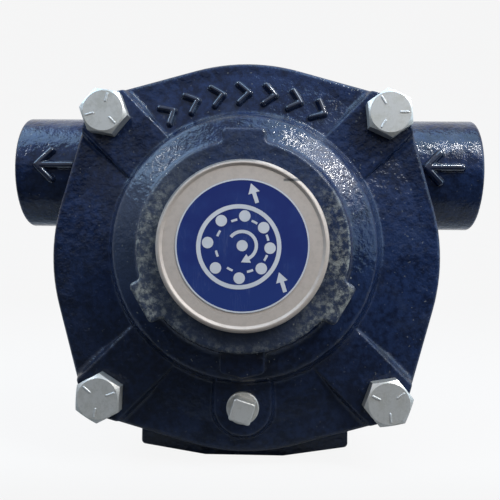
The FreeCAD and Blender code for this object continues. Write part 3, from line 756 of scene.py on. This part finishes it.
@dataclass(frozen=True)
class Plate:
    """Plated or bare metal, with a satin grain, stains and scratches."""

    name: str
    colour: Colour
    stain: Colour
    roughness: float = 0.32
    metal: float = 1.0
    lathe: bool = False
    wear: float = 0.0
    scratched: float = 0.25
    shadow_and_mark: CapShadowAndMark | None = None
    edge: Colour = (0.85, 0.85, 0.83)
    scratch: Colour = (0.9, 0.9, 0.88)
    wear_reach: float = 0.7 * MM
    depth: float = 0.01 * MM
    grain: float = 2600.0
    stains: Lumps = Lumps(260.0, 5.0, 0.7, 0.42, 0.66)

    def build(self, effects: Effects) -> Material:
        """Make the material.

        Args:
            effects: The shared effects.
        Returns:
            The material.
        """
        s = Surface(self.name, effects)
        place = s.place()
        stains = s.patches(place, self.stains)
        scratches = s.effect(effects.scratches, Amount=self.scratched)["Mask"]
        colour = s.mix(s.product(stains, 0.6), self.colour, self.stain)
        if self.wear:
            edge = s.effect(effects.edge_wear, Reach=self.wear_reach, Amount=self.wear)["Mask"]
            colour = s.mix(edge, colour, self.edge)
        colour = s.mix(s.product(scratches, 0.4), colour, self.scratch)
        # On the cap, a painted shadow round its upper left edge and a short dark mark
        if self.shadow_and_mark:
            colour = s.mix(self.shadow_and_mark.mask(s), colour, self.shadow_and_mark.colour)
        grain = s.effect(effects.lathe)["Height"] if self.lathe else s.noise(place, self.grain, 3.0, 0.6)
        roughness = s.total(s.product(stains, 0.12), self.roughness, s.product(scratches, -0.1))
        s.finish(colour, roughness, grain, self.depth, self.metal)
        return s.material


@dataclass(frozen=True)
class Film:
    """Printed film with a slight tooth, whose colour goes over to a second one in patches and towards its
    foot.
    """

    name: str
    colour: Colour
    faded: Colour
    rubbed: Colour = (0.4, 0.42, 0.48)
    roughness: float = 0.38
    mirror: float = 0.35
    lumps: float = 90.0
    tooth: float = 1800.0
    depth: float = 0.012 * MM
    foot: Span = (4.0 * MM, -18.0 * MM)

    def build(self, effects: Effects) -> Material:
        """Make the material.

        Args:
            effects: The shared effects.
        Returns:
            The material.
        """
        s = Surface(self.name, effects, self.mirror)
        place = s.place()
        patches = s.noise(place, self.lumps, 4.0, 0.6)
        # Towards the foot of the label its colour goes over to the second one
        low = s.product(s.ease(s.split(place)[2], *self.foot), 0.8)
        colour = s.mix(s.most(s.ease(patches, 0.4, 0.7), low), self.colour, self.faded)
        rub = s.effect(effects.scratches, Amount=0.2)["Mask"]
        colour = s.mix(s.product(rub, 0.25), colour, self.rubbed)
        s.finish(colour, s.line(patches, 0.12, self.roughness), s.noise(place, self.tooth), self.depth)
        return s.material


@dataclass(frozen=True)
class Moulded:
    """Rubber or nylon: an even colour with cloudy tone, fine tooth and light wear."""

    name: str
    colour: Colour
    cloud: Colour
    roughness: float
    lumps: float = 110.0
    tooth: float = 1400.0
    depth: float = 0.02 * MM
    wear_reach: float = 0.8 * MM

    def build(self, effects: Effects) -> Material:
        """Make the material.

        Args:
            effects: The shared effects.
        Returns:
            The material.
        """
        s = Surface(self.name, effects)
        place = s.place()
        clouds = s.noise(place, self.lumps, 4.0, 0.6)
        colour = s.mix(s.ease(clouds, 0.35, 0.7), self.colour, self.cloud)
        wear = s.effect(effects.edge_wear, Reach=self.wear_reach, Amount=0.4)["Mask"]
        colour = s.mix(wear, colour, self.cloud)
        tooth = s.noise(place, self.tooth, 3.0, 0.6)
        s.finish(colour, s.line(clouds, 0.15, self.roughness), tooth, self.depth)
        return s.material


def body_bores() -> tuple[BareRegion, ...]:
    """Machined places of the body: both ports, the chamber, the rear bores and the foot.

    Returns:
        One region for each.
    """
    mouth = PORT_BORE + PORT_CHAMFER + 0.02 * MM
    mouth_start = PORT_END - 2.2 * MM
    chamber_start = PARTING - 1.0 * MM
    chamber_axis = (0.0, 0.0, -CHAMBER_DROP)
    return (
        BareRegion(Axis.X, PORT_BORE + 0.3 * MM, centre=PORT_AXIS),
        BareRegion(Axis.X, mouth, low=mouth_start, centre=PORT_AXIS),
        BareRegion(Axis.X, mouth, high=-mouth_start, centre=PORT_AXIS),
        BareRegion(Axis.Y, CHAMBER_RADIUS + 2.5 * MM, chamber_start, CHAMBER_END + 0.1 * MM, chamber_axis),
        BareRegion(Axis.Y, FAR, chamber_start, PARTING + 0.05 * MM),
        BareRegion(Axis.Y, BEARING_RADIUS + 1.1 * MM, low=CHAMBER_END),
        BareRegion(Axis.Z, FAR, high=FOOT_BOTTOM + 0.05 * MM),
    )


def cover_bores() -> tuple[BareRegion, ...]:
    """Machined places of the cover: its bores and the face to the body."""
    return (BareRegion(Axis.Y, CAP_RADIUS + 0.1 * MM), BareRegion(Axis.Y, FAR, low=PARTING - 0.05 * MM))


def finishes(effects: Effects) -> dict[str, Material]:
    """Every material by the name of its slot in the record, with a few more for the new pieces.

    Args:
        effects: The shared effects.
    Returns:
        The materials by name.
    """
    # The raised marks are the cover's own paint drawn darker: painted shade
    shaded_mark = EnamelledIron(
        "mark_enamel", deep=(0.003, 0.006, 0.018), light=(0.006, 0.012, 0.034), gloss=0.05, mirror=1.0,
        wear_reach=0.3 * MM, relief=0.05 * MM, edge=0.3 * MM,
    )
    cap = Plate(
        "cap_steel", (0.55, 0.455, 0.375), (0.47, 0.39, 0.32), 0.55, metal=0.35, lathe=True, scratched=0.08,
        shadow_and_mark=CapShadowAndMark(),
    )
    made = (
        EnamelledIron("enamelled_iron", body_bores()),
        EnamelledIron("cover_enamel", cover_bores(), RimDirtAndSheen()),
        shaded_mark,
        cap,
        Plate("zinc_plate", (0.67, 0.635, 0.57), (0.43, 0.40, 0.33), 0.36, metal=0.6, wear=0.4),
        Film("label_film", (0.007, 0.018, 0.120), (0.011, 0.031, 0.145)),
        Film("label_white", (0.60, 0.58, 0.57), (0.53, 0.52, 0.52)),
        Plate("ground_steel", (0.55, 0.55, 0.54), (0.40, 0.37, 0.33), 0.22, lathe=True),
        Plate("rotor_iron", (0.26, 0.26, 0.27), (0.18, 0.16, 0.15), 0.45, lathe=True),
        Plate("bearing_steel", (0.68, 0.68, 0.70), (0.55, 0.55, 0.55), 0.14, lathe=True),
        Plate("cage_steel", (0.46, 0.45, 0.43), (0.34, 0.32, 0.29), 0.34, lathe=True),
        Plate("spring_steel", (0.10, 0.10, 0.105), (0.07, 0.065, 0.06), 0.38),
        Moulded("black_rubber", (0.014, 0.014, 0.014), (0.035, 0.034, 0.033), 0.55),
        Moulded("roller_nylon", (0.80, 0.77, 0.69), (0.70, 0.66, 0.56), 0.36),
    )
    return {finish.name: finish.build(effects) for finish in made}


def dress_nodes(materials: dict[str, Material]) -> None:
    """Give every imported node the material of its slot; the cover has its own enamel.

    Args:
        materials: The materials by name.
    """
    for row in frame["record"]["subparts"]:
        node = frame["nodes"][row["node"]]
        slot = "cover_enamel" if row["node"] == "end_cover" else row["material_slot"]
        for place in node.material_slots:
            place.material = materials[slot]
        LOG.info("%s: %s", row["node"], slot)


# Cast marks


@dataclass(frozen=True)
class CastStroke:
    """Section of a raised cast line: a level top, a smooth flank, and a foot sunk in the casting."""

    half_width: float
    flank: float
    height: float
    sink: float = 0.2 * MM
    depth: float = 1.0 * MM
    step: float = 0.25 * MM

    def rise(self, distance: np.ndarray) -> np.ndarray:
        """Height over the surface.

        The share t falls from 1 at half_width from the line to 0 a flank further out, and the height is
        (height + sink) sin(t tau / 4) - sink, which rounds the crest.

        Args:
            distance: Distance of each point from the nearest line.
        Returns:
            Height of each point.
        """
        share = np.clip((self.half_width + self.flank - distance) / self.flank, 0.0, 1.0)
        return (self.height + self.sink) * np.sin(share * math.tau / 4) - self.sink

    def field(self, strokes: np.ndarray) -> tuple[np.ndarray, np.ndarray, np.ndarray]:
        """Grid over straight lines, with room for their flanks.

        Args:
            strokes: Lines by 2 ends by 2 coordinates.
        Returns:
            First and second coordinate and height of each point, a step apart.
        """
        margin = self.half_width + self.flank + self.step
        low = strokes.min((0, 1)) - margin
        high = strokes.max((0, 1)) + margin
        sides = [np.arange(start, end, self.step) for start, end in zip(low, high)]
        s, v = np.meshgrid(*sides, indexing="ij")
        return s, v, self.rise(stroke_distance(s, v, strokes))

    def raised(self, surface: np.ndarray, normal: np.ndarray, rise: np.ndarray) -> Part:
        """Closed plate that rises from a surface along its normal, and is sunk a depth below it."""
        return plate(surface + normal * rise[..., None], surface - normal * self.depth)


def stroke_distance(along: np.ndarray, across: np.ndarray, strokes: np.ndarray) -> np.ndarray:
    """Distance of flat points from the nearest of several straight lines.

    On a line from a with run d, the nearest place to p is a + clamp((p - a).d / d.d) d.

    Args:
        along: First coordinate of each point.
        across: Second coordinate of each point.
        strokes: Lines by 2 ends by 2 coordinates.
    Returns:
        Distance of each point.
    """
    points = np.stack([along, across], -1)[..., None, :]
    start = strokes[:, 0]
    run = strokes[:, 1] - start
    share = np.clip(((points - start) * run).sum(-1) / (run * run).sum(-1), 0.0, 1.0)
    return np.linalg.norm(points - start - share[..., None] * run, axis=-1).min(-1)


@dataclass(frozen=True)
class CoverChevrons:
    """Row of cast chevrons in an arc over the hub, which point the way the shaft turns."""

    section: CastStroke = CastStroke(0.25 * MM, 1.15 * MM, 1.7 * MM)
    count: int = 7
    radius: float = 52.9 * MM
    middle: float = math.radians(91.0)
    spacing: float = 8.9 * MM
    reach: float = 1.8 * MM
    half_height: float = 3.3 * MM

    def build(self, material: Material) -> None:
        """Make the marks.

        A point at s along the arc and v across it lies at the angle middle - s / radius and the distance
        radius + v from the shaft, on the cover's face and the slight cone that rises from it to the hub.

        Args:
            material: Finish of the marks.
        """
        places = (np.arange(self.count) - (self.count - 1) / 2) * self.spacing
        tips = np.stack([places + self.reach, np.zeros(self.count)], -1)
        strokes = []
        for height in (-self.half_height, self.half_height):
            ends = np.stack([places - self.reach, np.full(self.count, height)], -1)
            strokes.append(np.stack([ends, tips], 1))
        s, v, rise = self.section.field(np.concatenate(strokes))
        angle = self.middle - s / self.radius
        distance = self.radius + v
        slope = CONE_RISE / (CONE_OUTER - CONE_INNER)
        face = COVER_FACE - slope * np.clip(CONE_OUTER - distance, 0.0, None)
        radial = np.stack([np.cos(angle), np.zeros_like(angle), np.sin(angle)], -1)
        surface = radial * distance[..., None] - FRONT * face[..., None]
        normal = (radial * slope + FRONT) / math.hypot(1.0, slope)
        marks = self.section.raised(surface, normal, rise)
        dress(piece("cover_turn_chevrons", [marks]), material, "housing")


@dataclass(frozen=True)
class PortArrow:
    """Cast arrow on the front of a port boss, which points the way the liquid flows."""

    side: Side
    section: CastStroke = CastStroke(0.4 * MM, 1.3 * MM, 1.7 * MM)
    centre: float = 70.5 * MM
    half_length: float = 6.4 * MM
    head: float = 5.2 * MM
    half_height: float = 5.2 * MM

    def build(self, material: Material) -> None:
        """Make the arrow.

        A point at s along X and v round the boss lies at the angle v / radius from the front of the
        boss: y is the axis minus radius cos, and z the axis plus radius sin.

        Args:
            material: Finish of the arrow.
        """
        tip = (-self.half_length, 0.0)
        back = self.head - self.half_length
        ends = [(self.half_length, 0.0), (back, self.half_height), (back, -self.half_height)]
        s, v, rise = self.section.field(np.array([[end, tip] for end in ends]))
        angle = v / PORT_RADIUS
        normal = np.stack([np.zeros_like(angle), -np.cos(angle), np.sin(angle)], -1)
        along = s + self.side.value * self.centre
        surface = np.array(PORT_AXIS) + np.array([1.0, 0.0, 0.0]) * along[..., None] + normal * PORT_RADIUS
        arrow = self.section.raised(surface, normal, rise)
        dress(piece(self.side.piece_name("flow_arrow"), [arrow]), material, "housing")


@dataclass(frozen=True)
class ScrewMarks:
    """Raised radial lines on each screw head."""

    section: CastStroke = CastStroke(0.20 * MM, 0.20 * MM, 0.24 * MM, 0.05 * MM, 0.3 * MM, 0.08 * MM)
    inner: float = 3.3 * MM
    outer: float = 5.8 * MM
    count: int = 3
    turns: tuple[float, ...] = (0.0, -45.0, 20.0, 36.0)

    def build(self, material: Material) -> None:
        """Make the lines of all four heads; the turns go counterclockwise from the upper right head.

        Args:
            material: Finish of the lines.
        """
        parts = []
        reach = math.hypot(SCREW_REACH, SCREW_REACH)
        for corner, turn in enumerate(self.turns):
            diagonal = math.radians(45.0 + 90.0 * corner)
            x, z = reach * math.cos(diagonal), reach * math.sin(diagonal) - CASTING_DROP
            angles = [math.radians(turn) + math.tau * k / self.count for k in range(self.count)]
            parts += [self.line(np.array([x, SCREW_FACE, z]), angle) for angle in angles]
        dress(piece("screw_grade_marks", parts), material, "housing")

    def line(self, centre: np.ndarray, angle: float) -> Part:
        """One line at an angle on a head.

        Args:
            centre: Middle of the head's face.
            angle: Turn of the line from +X to +Z.
        Returns:
            Points and faces.
        """
        s, v, rise = self.section.field(np.array([[[self.inner, 0.0], [self.outer, 0.0]]]))
        x = s * math.cos(angle) - v * math.sin(angle)
        z = s * math.sin(angle) + v * math.cos(angle)
        return self.section.raised(centre + np.stack([x, np.zeros_like(x), z], -1), FRONT, rise)


# Label


@dataclass(frozen=True)
class LabelPrint:
    """White print on the label: a plain section of a roller pump with its rollers and flow, in a border.

    Arrowheads are a length and a half width.
    """

    thickness: float = 0.04 * MM
    chord: float = 0.5 * MM
    point: float = 0.02 * MM
    turn: float = math.radians(-72.0)
    border: float = 0.5 * MM
    border_inset: float = 0.02 * MM
    line: float = 1.3 * MM
    casing: float = 12.9 * MM
    offset: float = 1.1 * MM
    rotor: float = 8.4 * MM
    rotor_line: float = 0.7 * MM
    rotor_gap: float = 0.55 * MM
    roller: float = 1.75 * MM
    roller_gap: float = 0.35 * MM
    rollers: int = 8
    shaft: float = 1.7 * MM
    turn_arrow: float = 4.3 * MM
    turn_line: float = 1.0 * MM
    turn_start: float = math.radians(215.0)
    turn_end: float = math.radians(10.0)
    turn_head: Flat = (2.6 * MM, 1.5 * MM)
    port: float = 8.2 * MM
    flow_start: float = 17.2 * MM
    flow_length: float = 6.2 * MM
    flow_line: float = 1.2 * MM
    flow_head: Flat = (3.0 * MM, 1.8 * MM)

    def build(self, material: Material) -> None:
        """Make the print as thin flat shapes.

        Args:
            material: Finish of the print.
        """
        parts = [
            self.ring((0.0, 0.0), LABEL_RADIUS - self.border, LABEL_RADIUS - self.border_inset),
            self.ring((0.0, -self.offset), self.casing - self.line, self.casing),
            self.ring((0.0, 0.0), 0.0, self.shaft),
        ]
        parts += self.rollers_and_rotor() + self.turning_arrow()
        parts += self.flow_arrow(self.flow_start) + self.flow_arrow(self.flow_length - self.flow_start)
        dress(piece("label_print", parts, smooth=False), material, "housing")

    def rollers_and_rotor(self) -> list[Part]:
        """Rollers a gap inside the casing, and arcs of the rotor between them.

        A roller at the angle a lies where a ray from the rotor's centre meets the circle of radius
        c = casing - line - gap - roller about (0, -offset), at the distance
        sqrt(c c - (offset cos a)^2) - offset sin a.

        Returns:
            The shapes.
        """
        parts = []
        circle = self.casing - self.line - self.roller_gap - self.roller
        step = math.tau / self.rollers
        half = step / 2 - (self.roller + self.rotor_gap) / self.rotor
        for k in range(self.rollers):
            angle = step * (k + 0.5)
            cos, sin = math.cos(angle), math.sin(angle)
            reach = math.sqrt(circle**2 - (self.offset * cos) ** 2) - self.offset * sin
            parts.append(self.ring((reach * cos, reach * sin), 0.0, self.roller))
            middle = angle + step / 2
            arc = (middle - half, middle + half)
            parts.append(self.ring((0.0, 0.0), self.rotor - self.rotor_line, self.rotor, arc))
        return parts

    def turning_arrow(self) -> list[Part]:
        """Arc with a head, clockwise as the shaft turns.

        Returns:
            The shapes.
        """
        low = self.turn_arrow - self.turn_line / 2
        arc = self.ring((0.0, 0.0), low, low + self.turn_line, (self.turn_start, self.turn_end))
        place = (self.turn_arrow * math.cos(self.turn_end), self.turn_arrow * math.sin(self.turn_end))
        return [arc, self.arrowhead(place, self.turn_end - math.pi / 2, self.turn_head)]

    def flow_arrow(self, start: float) -> list[Part]:
        """Straight arrow that points to the picture's negative X.

        Args:
            start: Place of its tail along the picture's X.
        Returns:
            The shapes.
        """
        neck = start - self.flow_length + self.flow_head[0]
        edges = [self.port - self.flow_line / 2, self.port + self.flow_line / 2]
        shank = self.flat(*np.meshgrid([neck, start], edges, indexing="ij"))
        return [shank, self.arrowhead((neck, self.port), math.pi, self.flow_head)]

    def flat(self, x: np.ndarray, z: np.ndarray) -> Part:
        """Closed plate over flat points of the picture, turned with the label.

        Args:
            x: First coordinate of each point.
            z: Second coordinate of each point.
        Returns:
            Points and faces.
        """
        cos, sin = math.cos(self.turn), math.sin(self.turn)
        points = np.stack([x * cos - z * sin, np.full_like(x, LABEL_FACE), x * sin + z * cos], -1)
        return plate(points + FRONT * self.thickness, points - FRONT * self.thickness)

    def ring(self, centre: Flat, inner: float, outer: float, arc: Span = (0.0, math.tau)) -> Part:
        """Ring, disc or arc: angle and radius are the two parameters.

        Args:
            centre: Its centre on the picture.
            inner: Inner radius, 0 for a disc.
            outer: Outer radius.
            arc: Angles of its start and end.
        Returns:
            Points and faces.
        """
        count = max(16, int(abs(arc[1] - arc[0]) * outer / self.chord))
        radii = [max(inner, self.point / 2), outer]
        angle, radius = np.meshgrid(np.linspace(*arc, count), radii, indexing="ij")
        return self.flat(centre[0] + radius * np.cos(angle), centre[1] + radius * np.sin(angle))

    def arrowhead(self, centre: Flat, angle: float, size: Flat) -> Part:
        """Triangle that points along an angle.

        Args:
            centre: Middle of its base.
            angle: Way that it points.
            size: Its length and half width.
        Returns:
            Points and faces.
        """
        along, share = np.meshgrid([0.0, size[0]], [-1.0, 1.0], indexing="ij")
        across = share * np.array([[size[1]], [self.point]])
        x = centre[0] + along * math.cos(angle) - across * math.sin(angle)
        z = centre[1] + along * math.sin(angle) + across * math.cos(angle)
        return self.flat(x, z)


# Threads


@dataclass(frozen=True)
class InnerThread:
    """Thread in a bore: a ridge with a flat crest that winds along the wall."""

    radius: float
    pitch: float
    length: float
    ridge: float
    steps: int = 72
    root: float = 0.12 * MM
    flanks: tuple[float, ...] = (-0.44, -0.08, 0.08, 0.44)

    def build(self, name: str, axis: Axis, mouth: Point, direction: int, material: Material) -> None:
        """Make the ridge.

        At the turn t the section's corners lie at the depth pitch t / tau + a and at the distance
        radius + root - h from the axis, where a and h are the corner's own, and h eases to zero over
        half a turn at both ends.

        Args:
            name: Name of the piece.
            axis: Direction of the bore.
            mouth: Place on the bore's axis where the thread starts.
            direction: Sign of the axis towards the outside.
            material: Finish of the thread.
        """
        turns = self.length / self.pitch
        t = np.linspace(0.0, math.tau * turns, int(self.steps * turns))
        ease = np.clip(np.minimum(t, t[-1] - t) / math.pi, 0.02, 1.0)
        rise = np.array([0.0, 1.0, 1.0, 0.0]) * (self.ridge + self.root)
        distance = self.radius + self.root - ease[:, None] * rise
        depth = (self.pitch / math.tau) * t[:, None] + np.array(self.flanks) * self.pitch
        first, second = [other.value for other in Axis if other is not axis]
        points = np.zeros((*distance.shape, 3))
        points[..., axis.value] = -direction * depth
        points[..., first] = distance * np.cos(t)[:, None]
        points[..., second] = distance * np.sin(t)[:, None]
        points = (points + np.array(mouth)).reshape(-1, 3)
        index = np.arange(len(points)).reshape(distance.shape)
        faces = grid_quads(np.hstack([index, index[:, :1]])).tolist()
        faces += [index[0].tolist(), index[-1, ::-1].tolist()]
        dress(piece(name, [(points, faces)]), material, "housing")


def threads(material: Material) -> None:
    """Make the threads of both ports and of the two holes in the foot.

    Args:
        material: Finish of the threads.
    """
    port = InnerThread(PORT_BORE, pitch=1.814 * MM, length=22.0 * MM, ridge=0.72 * MM)
    for side in Side:
        mouth = (side.value * (PORT_END - PORT_CHAMFER), *PORT_AXIS[1:])
        port.build(side.piece_name("port_thread"), Axis.X, mouth, side.value, material)
    hole = InnerThread(FOOT_HOLE, pitch=1.5875 * MM, length=10.0 * MM, ridge=0.5 * MM, steps=40)
    for number, y in enumerate(FOOT_HOLES, 1):
        mouth = (0.0, y, FOOT_BOTTOM + 0.8 * MM)
        hole.build(f"foot_hole_thread_{number}", Axis.Z, mouth, -1, material)


# Studio


def show_white(graph: Graph, lit: bpy.types.Node, white: bpy.types.Node, wall: Socket, share: float) -> None:
    """Put a white shader in place of the lit one for the camera, and in mirrors and glass for the wall.

    Args:
        graph: Nodes of the material or world.
        lit: Shader that lights the pump.
        white: Shader that is seen.
        wall: 1 where mirrored rays see white too, which is behind the pump.
        share: Weight of the white.
    """
    rays = graph.node("ShaderNodeLightPath").outputs
    mirrored = graph.most(rays["Is Glossy Ray"], rays["Is Transmission Ray"])
    seen = graph.most(rays["Is Camera Ray"], graph.product(mirrored, wall))
    inputs = {0: graph.product(seen, share), 1: lit.outputs[0], 2: white.outputs[0]}
    shown = graph.node("ShaderNodeMixShader", inputs)
    graph.feed(graph.tree.get_output_node("ALL").inputs["Surface"], shown.outputs[0])


@dataclass(frozen=True)
class Lamp:
    """Soft square lamp that looks at the pump."""

    name: str
    direction: Point
    distance: float
    size: float
    power: float
    colour: Colour = (1.0, 0.99, 0.98)

    def build(self, target: Vector) -> None:
        """Place the lamp.

        Args:
            target: Place that it looks at.
        """
        light = bpy.data.lights.new(self.name, "AREA")
        light.size = self.size
        light.energy = self.power
        light.color = self.colour
        lamp = add_object(self.name, light)
        away = Vector(self.direction).normalized()
        lamp.location = target + away * self.distance
        lamp.rotation_euler = away.to_track_quat("Z", "Y").to_euler()


@dataclass(frozen=True)
class Studio:
    """Pale floor and wall, plain world, lamps and the camera of the photograph."""

    camera_place: Point = (8.063 * MM, -321.632 * MM, -7.572 * MM)
    yaw: float = 0.028
    pitch: float = 0.031
    roll: float = -0.012
    focal_pixels: float = 670.75
    image_pixels: float = 500.0
    sensor: float = 36.0
    target: Point = (0.0, -0.07, 0.0)
    lamps: tuple[Lamp, ...] = (
        Lamp("key", (0.57, -0.51, 0.62), 0.75, 0.38, 2.3, (0.94, 0.96, 1.0)),
        Lamp("glint", (0.57, -0.52, 0.55), 0.75, 0.03, 0.9),
        Lamp("edge", (0.35, -0.50, 0.79), 0.75, 0.04, 0.65),
        Lamp("spark", (-0.55, -0.56, 0.58), 0.75, 0.03, 0.25),
        Lamp("window", (0.32, -0.34, 0.88), 0.42, 0.30, 0.85, (0.42, 0.68, 1.0)),
        Lamp("sky", (-0.62, -0.22, 0.75), 0.60, 0.42, 2.4, (0.42, 0.68, 1.0)),
        Lamp("side", (1.0, -0.30, 0.30), 0.60, 0.40, 0.9, (0.50, 0.75, 1.0)),
    )
    room_low: Colour = (0.014, 0.014, 0.015)
    room_high: Colour = (0.50, 0.55, 0.64)
    paper_front: Colour = (0.03, 0.03, 0.03)
    paper_back: Colour = (0.45, 0.45, 0.45)
    room_fade: Span = (-0.08, 0.32)
    room_behind: Span = (0.1, 0.5)
    paper_fade: Span = (-0.14, -0.08)
    paper_behind: Span = (0.0, 0.4)
    paper_white: float = 0.9
    half_width: float = 4.0
    front: float = -4.0
    back: float = 2.2
    top: float = 3.5
    bend: float = 0.8
    bend_steps: int = 24
    gap: float = 0.05 * MM

    def build(self) -> None:
        """Make everything."""
        self.world()
        self.floor()
        for lamp in self.lamps:
            lamp.build(Vector(self.target))
        self.camera()
        bpy.context.scene.view_settings.view_transform = "Standard"

    def camera(self) -> None:
        """Turn a camera that looks along +Y: by yaw about Z, then pitch about X, then roll about Y."""
        data = bpy.data.cameras.new("camera")
        data.sensor_width = self.sensor
        data.lens = self.focal_pixels / self.image_pixels * self.sensor
        data.clip_start = 0.01
        data.clip_end = 50.0
        turn = Matrix.Identity(3)
        for angle, axis in ((self.yaw, "Z"), (self.pitch, "X"), (self.roll, "Y")):
            turn = turn @ Matrix.Rotation(angle, 3, axis)
        columns = (turn.col[0], turn.col[2], -turn.col[1])
        camera = add_object("camera", data)
        camera.matrix_world = Matrix.Translation(self.camera_place) @ Matrix(columns).transposed().to_4x4()
        bpy.context.scene.camera = camera

    def world(self) -> None:
        """White to the camera; for light and reflections a room that is bright above and dim below."""
        world = bpy.data.worlds.new("room")
        world.use_nodes = True
        bpy.context.scene.world = world
        graph = Graph(world.node_tree)
        graph.tree.nodes.remove(graph.tree.nodes["Background"])
        _, depth, height = graph.split(graph.node("ShaderNodeTexCoord").outputs["Generated"])
        room = graph.mix(graph.ease(height, *self.room_fade), self.room_low, self.room_high)
        lit = graph.node("ShaderNodeBackground", {"Color": room})
        white = graph.node("ShaderNodeBackground", {"Color": WHITE})
        show_white(graph, lit, white, graph.ease(depth, *self.room_behind), 1.0)

    def floor(self) -> None:
        """Floor under the foot and a wall far behind, joined by a round sweep; dark in front of the pump."""
        run = np.linspace(0.0, math.pi / 2, self.bend_steps)
        start = self.back - self.bend
        y = np.concatenate([[self.front], start + self.bend * np.sin(run), [self.back]])
        z = np.concatenate([[0.0], self.bend - self.bend * np.cos(run), [self.top]]) + FOOT_BOTTOM - self.gap
        x = np.array([-self.half_width, self.half_width])
        grid = np.stack([*np.broadcast_arrays(x[None, :], y[:, None], z[:, None])], -1)
        index = np.arange(len(y) * 2).reshape(-1, 2)
        mesh = bpy.data.meshes.new("floor")
        mesh.from_pydata(grid.reshape(-1, 3).tolist(), [], grid_quads(index)[:, ::-1].tolist())
        material = bpy.data.materials.new("floor_paper")
        material.use_nodes = True
        graph = Graph(material.node_tree)
        paper = graph.tree.nodes["Principled BSDF"]
        graph.feed(paper.inputs["Roughness"], 0.9)
        depth = graph.split(graph.place())[1]
        grey = graph.mix(graph.ease(depth, *self.paper_fade), self.paper_front, self.paper_back)
        graph.feed(paper.inputs["Base Color"], grey)
        glow = graph.node("ShaderNodeEmission", {"Color": WHITE, "Strength": 1.0})
        show_white(graph, paper, glow, graph.ease(depth, *self.paper_behind), self.paper_white)
        mesh.materials.append(material)
        add_object("floor", mesh)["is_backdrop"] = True


def corners() -> list[list[float]]:
    """Lowest and highest corner of what is shown, as plain lists."""
    return [list(corner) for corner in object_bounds()]


def main() -> None:
    """Build the looks in order."""
    logging.basicConfig(level=logging.INFO, format="%(name)s: %(message)s")
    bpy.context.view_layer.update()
    materials = finishes(Effects.build())
    dress_nodes(materials)
    CoverChevrons().build(materials["mark_enamel"])
    for side in Side:
        PortArrow(side).build(materials["mark_enamel"])
    ScrewMarks().build(materials["zinc_plate"])
    LabelPrint().build(materials["label_white"])
    threads(materials["rotor_iron"])
    Studio().build()


if __name__ == "__main__":
    main()
